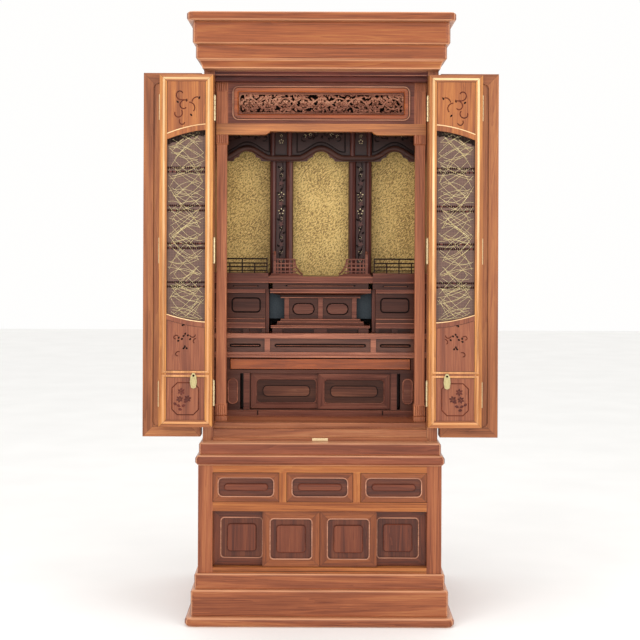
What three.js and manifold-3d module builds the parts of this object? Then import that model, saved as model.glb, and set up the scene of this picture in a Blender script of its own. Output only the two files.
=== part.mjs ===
// A household altar cabinet: a stepped wooden case with folding doors, an inner altar, and a base with
// drawers and sliding doors.
// Millimetres, +Z up, front towards -Y, origin at the middle of the underside.
import * as THREE from "three";
import { mergeVertices } from "three/addons/utils/BufferGeometryUtils.js";
import Module from "manifold-3d";

const wasm = await Module();
wasm.setup();

// Overall sizes
const baseWidth = 700;
const baseDepth = 590;
const caseWidth = 622; // outside of the upper case
const rearSetback = 10; // rear of the case bodies, in from the rear of the plates

// Heights of the stacked courses, from the floor up
const basePlateHeight = 22;
const plinthHeight = 69;
const plinthStepHeight = 41;
const lowerHeight = 282;
const waistSlabHeight = 26;
const waistBlockHeight = 32;
const upperHeight = 980;
const coveHeight = 22;
const corniceHeight = 40;
const friezeHeight = 59;
const topPlateHeight = 22;

// How far each course stands in from the front of the base plate
const plinthSetback = 17;
const plinthStepSetback = 26;
const lowerSetback = 35;
const waistSlabSetback = 24;
const waistBlockSetback = 34;
const caseSetback = 89;
const coveSetback = 34;
const coveTaper = 8;
const corniceSetback = 26;
const friezeSetback = 16;

// How far each course reaches past the side of the upper case
const plinthReach = 24.5;
const plinthStepReach = 16;
const lowerReach = 7;
const waistSlabReach = 15;
const waistBlockReach = 6;
const coveReach = 9;
const corniceReach = 17;
const friezeReach = 25;
const topReach = 39;

// Edges
const plateCorner = 18;
const plateEdge = 6;
const courseCorner = 10;
const courseEdge = 4;
const friezeCorner = 13;
const waistSlabCorner = 12;
const waistSlabEdge = 7;
const topPlateEdge = 4;

// Clearances
const fit = 0.3; // between fixed neighbours that were cut to each other
const drawerClear = 1;
const doorClear = 1;
const hingeClear = 0.75; // from a hinge line to the edge or face of its leaf
const leadClear = 1; // from the middle of the opening to each lead leaf

// Upper case
const stileWidth = 28;
const stileDepth = 24;
const caseBoard = 16;
const sillStepHeight = 8.5;
const sillStepProud = 12;
const doorRestHeight = 29.5; // the ledge that the closed inner leaves pass over
const floorRise = 44;
const headHeight = 13;
const headStepHeight = 12;
const headDepth = 60;

// Inner leaves
const leafThick = 20;
const leafBottomRise = 39.5; // above the waist block
const leafTopGap = 1.5;
const leafStile = 19.5;
const leafRail = 18;
const archCrownDrop = 145.5; // from the leaf's top down to the crown of the arch
const archRise = 118; // fall of the arch from the middle to the jamb
const archRail = 15;
const archFootRise = 276.5; // from the leaf's bottom up to the lowest point of the lower arch
const lowerArchRise = 96;
const midRailRise = 131;
const midRailHeight = 17;
const panelSink = 3;
const screenThick = 3;
const screenSink = 8;
const scrollSize = 72;
const scrollDrop = 80; // from the leaf's top to the middle of the scrolls
const upperSprigHeight = 88;
const upperSprigLean = 12;
const upperSprigRise = 72; // above the middle rail's lower edge
const lowerSprigHeight = 70;
const lowerSprigLean = 9;
const lowerSprigRise = 74; // above the leaf's bottom
const carvingSunk = 2; // how far the carving reaches behind the sunk face
const hingeInset = 85; // from the leaf's ends to the middle of the outer hinges
const hingeLength = 76;
const hingeNotch = 4.2; // square room for a hinge barrel at a leaf's corner

// Outer leaves
const outerLeafWidth = 154;
const outerLeafThick = 24;
const outerLeafGap = 6;
const outerLeafBottomRise = 9;
const outerLeafTopGap = 7;
const outerFrame = 27;
const outerPanelSink = 4;
const outerStackGap = 0.8;
const outerFieldRadius = 12;

// Transom, lintel and front posts
const transomSetback = 60; // behind the front of the upper case
const postWidth = 29;
const postDepth = 30;
const postEdgeGap = 1;
const lintelHeight = 30;
const lintelRelief = 9;
const lintelReliefHalf = 137;
const lintelOgee = 17;
const transomHeight = 110;
const transomThick = 18;
const transomMouldingSide = 15;
const transomMouldingHeight = 86;
const transomMouldingSink = 3;
const carvingMargin = 15;
const carvingThick = 12;
const carvingBorder = 3.5;
const carvingSink = 4;
const transomFieldRadius = 14;
const carvingRadius = 12;
const flowerRadius = 13;
const vineWidth = 5;
const lintelProud = 4; // how far the lintel and the upper posts stand in front of the transom
const capitalHeight = 24;
const capitalProud = 2;
const footHeight = 12;
const footBandHeight = 28;

// Inner altar
const altarSetback = 165; // behind the front of the upper case
const lowBoardHeight = 15;
const cupboardHeight = 100;
const cupboardHalf = 194;
const innerRailHeight = 12;
const trayHeight = 28;
const trayGap = 2;
const trayDepth = 140;
const ledgeHeight = 15;
const slotBandHeight = 38;
const shelfHeight = 14;
const innerBaseDepth = 160;
const innerDoorThick = 10;
const innerDoorOverlap = 12;
const innerBorder = 17;
const innerFieldRadius = 9;
const innerTabletGap = 17;
const innerTabletRadius = 12;
const innerSink = 3;
const innerStripWidth = 16; // the upright beside the sliding pair
const slitOffset = 19; // from the sliding pair's opening to the slit
const slitWidth = 9;
const slitDepth = 60;
const endTabletOffset = 35; // from the sliding pair's opening to the end tablet
const endTabletWidth = 27;
const slotPostX = 147;
const slotPostWidth = 15;
const middleSlotHalf = 127;
const sideSlotInner = 165;
const sideSlotOuter = 252;
const slotHeight = 10;

// Altar, side shelves and what stands on them
const altarHalf = 145;
const altarFeetHeight = 14.5;
const altarMouldingHeight = 23.5;
const altarWaistHeight = 59;
const altarCrownHeight = 25;
const altarFriezeHeight = 18;
const altarSlabHeight = 17.5;
const sideSlabExtra = 9.5; // the side shelves finish this much higher than the altar
const feetGapInner = 18;
const feetGapWidth = 88;
const waistInset = 44; // from the altar's side to its waist
const waistPostWidth = 13;
const waistTabletInner = 19;
const waistTabletWidth = 57;
const friezeSlotHalf = 98;
const sidePanelMiddle = 207;
const sidePanelHalf = 40;
const sideSlotHalf = 36;
const sideFeetSpread = 26; // from the middle of a side panel to the middle of each gap between the feet
const sideFeetGap = 36;
const railingHeight = 42;
const railingBar = 3;
const altarRailingHeight = 62;
const altarRailingX = 88;
const altarRailingFootX = 49;
const goldBoardSetback = 330;
const goldBoardThick = 10;
const pillarSetback = 268;
const pillarInner = 79;
const pillarOuter = 145;
const pillarDepth = 26;
const valanceSetback = 255;
const valanceThick = 8;
const valanceBand = 16;
const valanceShoulder = 325; // above the altar slab
const archPeak = 28;
const archHalf = 39;
const lobeShare = 0.6; // the middle lobe's part of the arch's width
const lobeFoot = 0.42; // and where it ends, as a part of the arch's height

// Lower case
const lowerStile = 38;
const lowerFrameDepth = 40;
const lowerBoard = 18;
const lowerSill = 15;
const slidingHeight = 147;
const midRail = 24;
const drawerHeight = 77.5;
const drawerDivider = 19;
const drawerFront = 20;
const drawerWall = 10;
const drawerFloor = 8;
const drawerDepth = 360;
const backThick = 12;
const dustBoard = 14;
const slidingThick = 14;
const slidingOverlap = 20;
const slidingReveal = 8;
const drawerBorder = 14.5;
const drawerFieldRadius = 11;
const drawerTabletGap = 15;
const drawerTabletRadius = 9;
const drawerSink = 5;
const slidingBorder = 21;
const slidingFieldRadius = 8;
const slidingTabletGap = 16;
const slidingTabletRadius = 8;
const slidingSink = 4;

// Levels
const plinthZ = basePlateHeight;
const plinthStepZ = plinthZ + plinthHeight;
const lowerZ = plinthStepZ + plinthStepHeight;
const waistSlabZ = lowerZ + lowerHeight;
const waistBlockZ = waistSlabZ + waistSlabHeight;
const upperZ = waistBlockZ + waistBlockHeight;
const coveZ = upperZ + upperHeight;
const corniceZ = coveZ + coveHeight;
const friezeZ = corniceZ + corniceHeight;
const topPlateZ = friezeZ + friezeHeight;
const floorZ = upperZ + floorRise;

// Planes
const frontY = -baseDepth / 2;
const rearY = baseDepth / 2;
const bodyRearY = rearY - rearSetback;
const stileY = frontY + caseSetback;
const caseHalf = caseWidth / 2;
const openingHalf = caseHalf - stileWidth;
const innerHalf = caseHalf - caseBoard - fit;
const lowerHalf = caseHalf + lowerReach;
const lowerFrontY = frontY + lowerSetback;
const altarY = stileY + altarSetback;
const transomY = stileY + transomSetback;
const goldY = stileY + goldBoardSetback;

const paint = (color, roughness = 0.5, metalness = 0) =>
  new THREE.MeshStandardMaterial({ color, roughness, metalness });
const caseWood = paint(0xa5552c);
const drawerWood = paint(0xb4602f);
const doorWood = paint(0xb86a33);
const innerWood = paint(0x7d4228);
const darkWood = paint(0x2e1d18);
const carvedWood = paint(0x8a4a2c);
const gauze = paint(0x77655e, 0.8);
const goldCloth = paint(0xc9a04e, 0.7);

const cabinet = new THREE.Group();

// Coordinates are kept on a fine grid, so that faces which touch hold the same numbers.
const grid = 1024;
function settle(geometry) {
  const position = geometry.getAttribute("position");
  for (let i = 0; i < position.array.length; i += 1) {
    position.array[i] = Math.round(position.array[i] * grid) / grid;
  }
  geometry.deleteAttribute("normal");
  geometry.deleteAttribute("uv");
  return mergeVertices(geometry, 1e-4);
}

function toSolid(geometry) {
  const merged = settle(geometry.index ? geometry.toNonIndexed() : geometry.clone());
  return new wasm.Manifold(
    new wasm.Mesh({
      numProp: 3,
      vertProperties: merged.attributes.position.array,
      triVerts: new Uint32Array(merged.index.array),
    }),
  );
}

function toGeometry(made) {
  const mesh = made.getMesh();
  const geometry = new THREE.BufferGeometry();
  geometry.setAttribute("position", new THREE.BufferAttribute(new Float32Array(mesh.vertProperties), 3));
  geometry.setIndex(new THREE.BufferAttribute(new Uint32Array(mesh.triVerts), 1));
  return geometry;
}

function joinAll(geometries) {
  let made = toSolid(geometries[0]);
  for (const next of geometries.slice(1)) made = made.add(toSolid(next));
  return toGeometry(made);
}

function cutAll(geometry, tools) {
  let made = toSolid(geometry);
  for (const tool of tools) made = made.subtract(toSolid(tool));
  return toGeometry(made);
}

function addPart(name, geometry, material) {
  const shown = settle(geometry.index ? geometry.toNonIndexed() : geometry.clone());
  shown.computeVertexNormals();
  const mesh = new THREE.Mesh(shown, material);
  mesh.name = name;
  cabinet.add(mesh);
}

// The same piece on both sides of the middle plane
function addPair(name, geometry, material) {
  addPart(name + "_right", geometry, material);
  addPart(name + "_left", mirrored(geometry), material);
}

function mirrored(geometry) {
  const flat = geometry.index ? geometry.toNonIndexed() : geometry.clone();
  const from = flat.getAttribute("position").array;
  const to = new Float32Array(from.length);
  for (let i = 0; i < from.length; i += 9) {
    for (const [corner, source] of [[0, 0], [1, 2], [2, 1]]) {
      to[i + corner * 3] = -from[i + source * 3];
      to[i + corner * 3 + 1] = from[i + source * 3 + 1];
      to[i + corner * 3 + 2] = from[i + source * 3 + 2];
    }
  }
  const made = new THREE.BufferGeometry();
  made.setAttribute("position", new THREE.BufferAttribute(to, 3));
  return made;
}

function block(x0, x1, y0, y1, z0, z1) {
  const geometry = new THREE.BoxGeometry(x1 - x0, y1 - y0, z1 - z0);
  return geometry.translate((x0 + x1) / 2, (y0 + y1) / 2, (z0 + z1) / 2);
}

function roundedOutline(x0, x1, z0, z1, radius) {
  const shape = new THREE.Shape();
  shape.moveTo(x0 + radius, z0);
  shape.lineTo(x1 - radius, z0);
  shape.absarc(x1 - radius, z0 + radius, radius, -Math.PI / 2, 0);
  shape.lineTo(x1, z1 - radius);
  shape.absarc(x1 - radius, z1 - radius, radius, 0, Math.PI / 2);
  shape.lineTo(x0 + radius, z1);
  shape.absarc(x0 + radius, z1 - radius, radius, Math.PI / 2, Math.PI);
  shape.lineTo(x0, z0 + radius);
  shape.absarc(x0 + radius, z0 + radius, radius, Math.PI, Math.PI * 1.5);
  return shape;
}

function outlineOf(points) {
  return new THREE.Shape(points.map(([a, b]) => new THREE.Vector2(a, b)));
}

// An elevation drawn in X and Z, given a thickness from the plane y0 to the plane y1
function elevation(shape, y0, y1, arcSteps = 1) {
  const geometry = new THREE.ExtrudeGeometry(shape, {
    depth: y1 - y0,
    bevelEnabled: false,
    curveSegments: arcSteps,
  });
  return geometry.rotateX(Math.PI / 2).translate(0, y1, 0);
}

// A section drawn in Y and Z, run along X
function run(shape, x0, x1) {
  const geometry = new THREE.ExtrudeGeometry(shape, { depth: x1 - x0, bevelEnabled: false });
  const turn = new THREE.Matrix4().makeBasis(
    new THREE.Vector3(0, 1, 0),
    new THREE.Vector3(0, 0, 1),
    new THREE.Vector3(1, 0, 0),
  );
  return geometry.applyMatrix4(turn).translate(x0, 0, 0);
}

// A board seen in plan, with rounded corners and eased upper and lower edges
function course(half, y0, z0, height, corner, edge, y1 = bodyRearY) {
  const geometry = new THREE.ExtrudeGeometry(roundedOutline(-half, half, y0, y1, corner), {
    depth: height - 2 * edge,
    bevelEnabled: true,
    bevelThickness: edge,
    bevelSize: edge,
    bevelOffset: -edge,
    bevelSegments: 1,
    curveSegments: 1,
  });
  return geometry.translate(0, 0, z0 + edge);
}

// Rectangles stacked up the height, joined by flat sides: [z, x0, x1, y0, y1]
function stacked(levels) {
  const points = [];
  const faces = [];
  for (const [z, x0, x1, y0, y1] of levels) {
    points.push([x0, y0, z], [x1, y0, z], [x1, y1, z], [x0, y1, z]);
  }
  const quad = (a, b, c, d) => faces.push(a, b, c, a, c, d);
  quad(3, 2, 1, 0);
  for (let level = 0; level < levels.length - 1; level += 1) {
    const low = level * 4;
    for (let side = 0; side < 4; side += 1) {
      const next = (side + 1) % 4;
      quad(low + side, low + next, low + 4 + next, low + 4 + side);
    }
  }
  const top = (levels.length - 1) * 4;
  quad(top, top + 1, top + 2, top + 3);
  const geometry = new THREE.BufferGeometry();
  geometry.setAttribute("position", new THREE.BufferAttribute(new Float32Array(points.flat()), 3));
  geometry.setIndex(faces);
  return geometry;
}

// Carved motifs, each drawn about its own middle
const stemWidth = 2.4;

function petalOutline(x, z, radius, petals, turn = 0) {
  const steps = petals * 2;
  const points = [];
  for (let i = 0; i < steps; i += 1) {
    const angle = (i / steps) * Math.PI * 2;
    const reach = radius * (0.72 + 0.28 * Math.cos(petals * angle));
    points.push([x + reach * Math.cos(angle + turn), z + reach * Math.sin(angle + turn)]);
  }
  return outlineOf(points);
}

function leafOutline(x, z, length, angle) {
  const points = [];
  for (const [along, across] of [[0, 0], [0.45, -0.2], [1, 0], [0.45, 0.2]]) {
    const a = along * length;
    const b = across * length;
    const c = Math.cos(angle);
    const s = Math.sin(angle);
    points.push([x + a * c - b * s, z + a * s + b * c]);
  }
  return outlineOf(points);
}

// A band of even width along a line given as a function of 0 to 1
function bandOutline(line, width, steps) {
  const left = [];
  const right = [];
  for (let i = 0; i <= steps; i += 1) {
    const [x, z] = line(i / steps);
    const [xa, za] = line(Math.max(0, i / steps - 0.01));
    const [xb, zb] = line(Math.min(1, i / steps + 0.01));
    const size = Math.hypot(xb - xa, zb - za);
    const nx = (-(zb - za) / size) * (width / 2);
    const nz = ((xb - xa) / size) * (width / 2);
    left.push([x + nx, z + nz]);
    right.unshift([x - nx, z - nz]);
  }
  return outlineOf([...right.reverse(), ...left.reverse()]);
}

// A sprig: a curved stem with a flower at its head and leaves on both sides
function sprig(x, z, height, lean, y0, y1) {
  const stem = (t) => [x + lean * Math.sin(t * Math.PI) - lean * t * 0.5, z - height / 2 + height * t];
  const made = [elevation(bandOutline(stem, stemWidth, 2), y0, y1)];
  const [headX, headZ] = stem(1);
  made.push(elevation(petalOutline(headX, headZ, height * 0.2, 5), y0, y1));
  for (let i = 1; i <= 3; i += 1) {
    const [leafX, leafZ] = stem(i / 4.2);
    const side = i % 2 ? 1 : -1;
    const angle = Math.PI / 2 - side * 1.05;
    made.push(elevation(leafOutline(leafX, leafZ, height * 0.3, angle), y0, y1));
  }
  return joinAll(made);
}

// Two scrolls that spring from one point, one on each side
function scrolls(x, z, size, y0, y1) {
  const made = [elevation(petalOutline(x, z, size * 0.16, 4), y0, y1)];
  for (const side of [-1, 1]) {
    for (const up of [-1, 1]) {
      const line = (t) => {
        const angle = t * Math.PI * 1.35;
        const reach = size * 0.27 * (1 - 0.35 * t);
        const out = size * 0.27 - reach * Math.cos(angle);
        const rise = reach * Math.sin(angle) + size * 0.2 * t;
        return [x + side * out, z + up * rise];
      };
      made.push(elevation(bandOutline(line, stemWidth, 3), y0, y1));
    }
  }
  return joinAll(made);
}

// Base courses

addPart(
  "base_plate",
  course(baseWidth / 2, frontY, 0, basePlateHeight, plateCorner, plateEdge, rearY),
  caseWood,
);
addPart(
  "plinth_block",
  course(caseHalf + plinthReach, frontY + plinthSetback, plinthZ, plinthHeight, courseCorner, courseEdge),
  caseWood,
);
addPart(
  "plinth_step",
  course(
    caseHalf + plinthStepReach, frontY + plinthStepSetback,
    plinthStepZ, plinthStepHeight,
    courseCorner, courseEdge,
  ),
  caseWood,
);

// Lower case

const lowerOpeningHalf = lowerHalf - lowerStile;
const slidingZ = lowerZ + lowerSill;
const midRailZ = slidingZ + slidingHeight;
const drawerZ = midRailZ + midRail;
const lowerFrameRearY = lowerFrontY + lowerFrameDepth;
const drawerOpening = (2 * lowerOpeningHalf - 2 * drawerDivider) / 3;
const lowerInnerHalf = lowerHalf - lowerBoard - fit;

function lowerFrame() {
  const holes = [
    block(-lowerOpeningHalf, lowerOpeningHalf, lowerFrontY - 1, lowerFrameRearY + 1, slidingZ, midRailZ),
  ];
  for (let i = 0; i < 3; i += 1) {
    const x0 = -lowerOpeningHalf + i * (drawerOpening + drawerDivider);
    holes.push(
      block(x0, x0 + drawerOpening, lowerFrontY - 1, lowerFrameRearY + 1, drawerZ, drawerZ + drawerHeight),
    );
  }
  const face = cutAll(
    block(-lowerHalf, lowerHalf, lowerFrontY, lowerFrameRearY, lowerZ, waistSlabZ),
    holes,
  );
  const shelf = block(
    -lowerInnerHalf, lowerInnerHalf,
    lowerFrameRearY - 1, bodyRearY - backThick - fit,
    drawerZ - dustBoard, drawerZ,
  );
  return joinAll([face, shelf]);
}
addPart("lower_frame", lowerFrame(), caseWood);

addPair(
  "lower_side",
  block(lowerHalf - lowerBoard, lowerHalf, lowerFrameRearY, bodyRearY, lowerZ, waistSlabZ),
  caseWood,
);
addPart(
  "lower_back",
  block(-lowerInnerHalf, lowerInnerHalf, bodyRearY - backThick, bodyRearY, lowerZ, waistSlabZ),
  caseWood,
);

// A raised tablet in a sunk, round-cornered field, as the drawer and door fronts have
function sunkPanel(x0, x1, z0, z1, y0, y1, frame, radius, tabletGap, tabletRadius, sink) {
  const tabletProud = 0.5; // what a tablet lies behind the frame's face
  const field = elevation(
    roundedOutline(x0 + frame, x1 - frame, z0 + frame, z1 - frame, radius),
    y0 - 1, y0 + sink,
  );
  const gap = frame + tabletGap;
  const rounding = Math.min(tabletRadius, (z1 - z0) / 2 - gap - tabletProud);
  const tablet = elevation(
    roundedOutline(x0 + gap, x1 - gap, z0 + gap, z1 - gap, rounding),
    y0 + tabletProud, y0 + sink + 1,
  );
  return joinAll([cutAll(block(x0, x1, y0, y1, z0, z1), [field]), tablet]);
}

function lowerDrawer(x0) {
  const reveal = 1; // the front lies behind the frame's face
  const inset = 2; // the box stands in from the edges of its front
  const drop = 8; // and ends below its top
  const left = x0 + drawerClear;
  const right = x0 + drawerOpening - drawerClear;
  const bottom = drawerZ + drawerClear;
  const top = drawerZ + drawerHeight - drawerClear;
  const frontBack = lowerFrontY + reveal + drawerFront;
  const front = sunkPanel(
    left, right, bottom, top, lowerFrontY + reveal, frontBack,
    drawerBorder, drawerFieldRadius, drawerTabletGap, drawerTabletRadius, drawerSink,
  );
  const box = block(left + inset, right - inset, frontBack - 1, frontBack + drawerDepth, bottom, top - drop);
  const inside = block(
    left + inset + drawerWall, right - inset - drawerWall,
    frontBack, frontBack + drawerDepth - drawerWall,
    bottom + drawerFloor, top,
  );
  return joinAll([front, cutAll(box, [inside])]);
}
["left", "middle", "right"].forEach((side, i) => {
  const x0 = -lowerOpeningHalf + i * (drawerOpening + drawerDivider);
  addPart("drawer_" + side, lowerDrawer(x0), drawerWood);
});

// Four sliding doors: the middle pair on the front track, the outer pair on the rear track
const slidingWidth = (2 * lowerOpeningHalf + 2 * slidingOverlap) / 4;
function slidingDoor(x0, y0) {
  return sunkPanel(
    x0 + doorClear / 2, x0 + slidingWidth - doorClear / 2,
    slidingZ + doorClear, midRailZ - doorClear,
    y0, y0 + slidingThick,
    slidingBorder, slidingFieldRadius, slidingTabletGap, slidingTabletRadius, slidingSink,
  );
}
const slidingFrontY = lowerFrontY + slidingReveal;
const slidingRearY = slidingFrontY + slidingThick + 2 * doorClear;
addPart("sliding_door_inner_right", slidingDoor(0, slidingFrontY), drawerWood);
addPart("sliding_door_inner_left", slidingDoor(-slidingWidth, slidingFrontY), drawerWood);
addPart("sliding_door_outer_right", slidingDoor(lowerOpeningHalf - slidingWidth, slidingRearY), drawerWood);
addPart("sliding_door_outer_left", slidingDoor(-lowerOpeningHalf, slidingRearY), drawerWood);

// Waist courses

addPart(
  "waist_slab",
  course(
    caseHalf + waistSlabReach, frontY + waistSlabSetback,
    waistSlabZ, waistSlabHeight,
    waistSlabCorner, waistSlabEdge,
  ),
  caseWood,
);
addPart(
  "waist_block",
  course(
    caseHalf + waistBlockReach, frontY + waistBlockSetback,
    waistBlockZ, waistBlockHeight,
    courseCorner, courseEdge,
  ),
  caseWood,
);

// Upper case

function upperSide() {
  const stile = block(openingHalf, caseHalf, stileY, stileY + stileDepth, upperZ, coveZ);
  const board = block(caseHalf - caseBoard, caseHalf, stileY + stileDepth - 1, bodyRearY, upperZ, coveZ);
  return joinAll([stile, board]);
}
addPair("case_side", upperSide(), caseWood);
addPart(
  "case_back",
  block(-innerHalf, innerHalf, bodyRearY - backThick, bodyRearY, upperZ, coveZ),
  caseWood,
);

const stileRearY = stileY + stileDepth + fit;
const sillHalf = openingHalf - fit;
const caseBackY = bodyRearY - backThick - fit;
function sillAndFloor() {
  const steps = outlineOf([
    [stileY - sillStepProud, upperZ],
    [stileRearY + 1, upperZ],
    [stileRearY + 1, floorZ],
    [stileY + leafThick + 2 * hingeClear + 1, floorZ],
    [stileY + leafThick + 2 * hingeClear + 1, upperZ + doorRestHeight],
    [stileY, upperZ + doorRestHeight],
    [stileY, upperZ + sillStepHeight],
    [stileY - sillStepProud, upperZ + sillStepHeight],
  ]);
  const floor = block(-innerHalf, innerHalf, stileRearY, caseBackY, upperZ, floorZ);
  return joinAll([run(steps, -sillHalf, sillHalf), floor]);
}
addPart("sill_and_floor", sillAndFloor(), innerWood);

const headZ = coveZ - headHeight;
const headStepZ = headZ - headStepHeight;
function head() {
  const rail = block(-sillHalf, sillHalf, stileY, stileRearY + 1, headZ, coveZ);
  const band = block(
    -sillHalf, sillHalf,
    stileY + leafThick + 2 * hingeClear + 1, stileRearY + 1,
    headStepZ, coveZ,
  );
  const ceiling = block(-innerHalf, innerHalf, stileRearY, caseBackY, headZ, coveZ);
  const rear = block(-innerHalf, innerHalf, stileRearY, stileY + headDepth - fit, headStepZ, coveZ);
  return joinAll([rail, band, ceiling, rear]);
}
addPart("head_and_ceiling", head(), innerWood);

// Cornice

function cove() {
  const steps = 4;
  const levels = [];
  for (let i = 0; i <= steps; i += 1) {
    const t = i / steps;
    const inset = coveTaper * Math.cos(t * Math.PI * 0.5);
    const half = caseHalf + coveReach - inset;
    levels.push([coveZ + coveHeight * t, -half, half, frontY + coveSetback + inset, bodyRearY]);
  }
  return stacked(levels);
}
addPart("cornice_cove", cove(), caseWood);
addPart(
  "cornice_step",
  course(
    caseHalf + corniceReach, frontY + corniceSetback,
    corniceZ, corniceHeight,
    courseCorner, courseEdge,
  ),
  caseWood,
);
addPart(
  "cornice_frieze",
  course(
    caseHalf + friezeReach, frontY + friezeSetback,
    friezeZ, friezeHeight,
    friezeCorner, courseEdge,
  ),
  caseWood,
);
addPart(
  "top_plate",
  course(caseHalf + topReach, frontY, topPlateZ, topPlateHeight, plateCorner, topPlateEdge, rearY),
  caseWood,
);

// Outer leaves, folded in pairs beside the case

const outerLeafX = caseHalf + outerLeafGap;
const outerLeafZ0 = upperZ + outerLeafBottomRise;
const outerLeafZ1 = coveZ - outerLeafTopGap;
function outerLeaf(y0, faceY, sinkTo) {
  const x1 = outerLeafX + outerLeafWidth;
  const field = elevation(
    roundedOutline(
      outerLeafX + outerFrame, x1 - outerFrame,
      outerLeafZ0 + outerFrame, outerLeafZ1 - outerFrame,
      outerFieldRadius,
    ),
    Math.min(faceY, sinkTo), Math.max(faceY, sinkTo),
  );
  return cutAll(block(outerLeafX, x1, y0, y0 + outerLeafThick, outerLeafZ0, outerLeafZ1), [field]);
}
addPair("outer_lead_leaf", outerLeaf(stileY, stileY - 1, stileY + outerPanelSink), doorWood);
const outerRearY = stileY + outerLeafThick + outerStackGap;
const outerBackFace = outerRearY + outerLeafThick;
addPair(
  "outer_side_leaf",
  outerLeaf(outerRearY, outerBackFace + 1, outerBackFace - outerPanelSink),
  doorWood,
);

// Inner leaves. Drawn closed on the right side: distance from the middle of the opening, and height.

const leafWidth = (openingHalf - leadClear - 3 * hingeClear) / 2;
const leafZ0 = upperZ + leafBottomRise;
const leafZ1 = headZ - leafTopGap;
const archShare = (x) => 1 - Math.cos((x / openingHalf) * Math.PI * 0.5);
const upperArchZ = (x) => leafZ1 - archCrownDrop - archRise * archShare(x);
const lowerArchZ = (x) => leafZ0 + archFootRise + lowerArchRise * archShare(x);
const hingeLevels = [leafZ0 + hingeInset, (leafZ0 + leafZ1) / 2, leafZ1 - hingeInset];

function archField(x0, x1, low, high) {
  const steps = 4;
  const points = [];
  for (let i = 0; i <= steps; i += 1) {
    const x = x0 + ((x1 - x0) * i) / steps;
    points.push([x, low(x)]);
  }
  for (let i = steps; i >= 0; i -= 1) {
    const x = x0 + ((x1 - x0) * i) / steps;
    points.push([x, high(x)]);
  }
  return outlineOf(points);
}

// Room for the hinge barrels at one upright corner of a leaf
function hingeRoom(x, y) {
  const half = hingeLength / 2;
  return hingeLevels.map((z) =>
    block(x - hingeNotch, x + hingeNotch, y - hingeNotch, y + hingeNotch, z - half, z + half),
  );
}

// One leaf in its closed place with its face at y0, and the upright corners where it has hinges
function latticeLeaf(x0, y0, corners) {
  const x1 = x0 + leafWidth;
  const fieldX0 = x0 + leafStile;
  const fieldX1 = x1 - leafStile;
  const midZ = leafZ0 + midRailRise;
  const faceOf = (low, high) => elevation(archField(fieldX0, fieldX1, low, high), y0 - 1, y0 + panelSink);
  const opening = elevation(archField(fieldX0, fieldX1, lowerArchZ, upperArchZ), y0 - 1, y0 + leafThick + 1);
  const frame = cutAll(block(x0, x1, y0, y0 + leafThick, leafZ0, leafZ1), [
    opening,
    faceOf((x) => upperArchZ(x) + archRail, () => leafZ1 - leafRail),
    faceOf(() => midZ + midRailHeight, (x) => lowerArchZ(x) - archRail),
    faceOf(() => leafZ0 + leafRail, () => midZ),
    ...corners.flatMap(([x, y]) => hingeRoom(x, y)),
  ]);
  const midX = (x0 + x1) / 2;
  const carvedY0 = y0 + panelSink - carvingSunk;
  const carvedY1 = y0 + panelSink + 1;
  const carvings = [
    scrolls(midX, leafZ1 - scrollDrop, scrollSize, carvedY0, carvedY1),
    sprig(midX, midZ + upperSprigRise, upperSprigHeight, upperSprigLean, carvedY0, carvedY1),
    sprig(midX, leafZ0 + lowerSprigRise, lowerSprigHeight, lowerSprigLean, carvedY0, carvedY1),
  ];
  return joinAll([frame, ...carvings]);
}

// The gauze that fills the opening of one leaf
function leafScreen(x0, y0) {
  const fieldX0 = x0 + leafStile + fit;
  const fieldX1 = x0 + leafWidth - leafStile - fit;
  const shape = archField(fieldX0, fieldX1, (x) => lowerArchZ(x) + fit, (x) => upperArchZ(x) - fit);
  return elevation(shape, y0 + screenSink, y0 + screenSink + screenThick);
}

const sideLeafX = openingHalf - hingeClear - leafWidth;
const leadLeafX = leadClear;
const closedFaceY = stileY + hingeClear;

// A side leaf swings half a turn about the jamb. A lead leaf travels with the fold and keeps its facing.
function openSideLeaf(geometry) {
  geometry.translate(-openingHalf, -stileY, 0);
  geometry.rotateZ(Math.PI);
  return geometry.translate(openingHalf, stileY, 0);
}
const leadShiftX = 2 * (openingHalf - (sideLeafX - hingeClear));
const leadShiftY = -2 * (hingeClear + leafThick + doorClear / 2);
function openLeadLeaf(geometry) {
  return geometry.translate(leadShiftX, leadShiftY, 0);
}
const closedRearY = closedFaceY + leafThick;
const jambCorner = [sideLeafX + leafWidth, closedFaceY];
const sideFoldCorner = [sideLeafX, closedRearY];
const leadFoldCorner = [leadLeafX + leafWidth, closedRearY];
addPair(
  "side_leaf",
  openSideLeaf(latticeLeaf(sideLeafX, closedFaceY, [jambCorner, sideFoldCorner])),
  doorWood,
);
addPair("side_leaf_gauze", openSideLeaf(leafScreen(sideLeafX, closedFaceY)), gauze);
addPair(
  "lead_leaf",
  openLeadLeaf(latticeLeaf(leadLeafX, closedFaceY, [leadFoldCorner])),
  doorWood,
);
addPair("lead_leaf_gauze", openLeadLeaf(leafScreen(leadLeafX, closedFaceY)), gauze);

// Transom, lintel and front posts

const postX1 = openingHalf - postEdgeGap;
const postX0 = postX1 - postWidth;
const lintelTopZ = headStepZ - transomHeight;
const lintelZ = lintelTopZ - lintelHeight;

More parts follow.
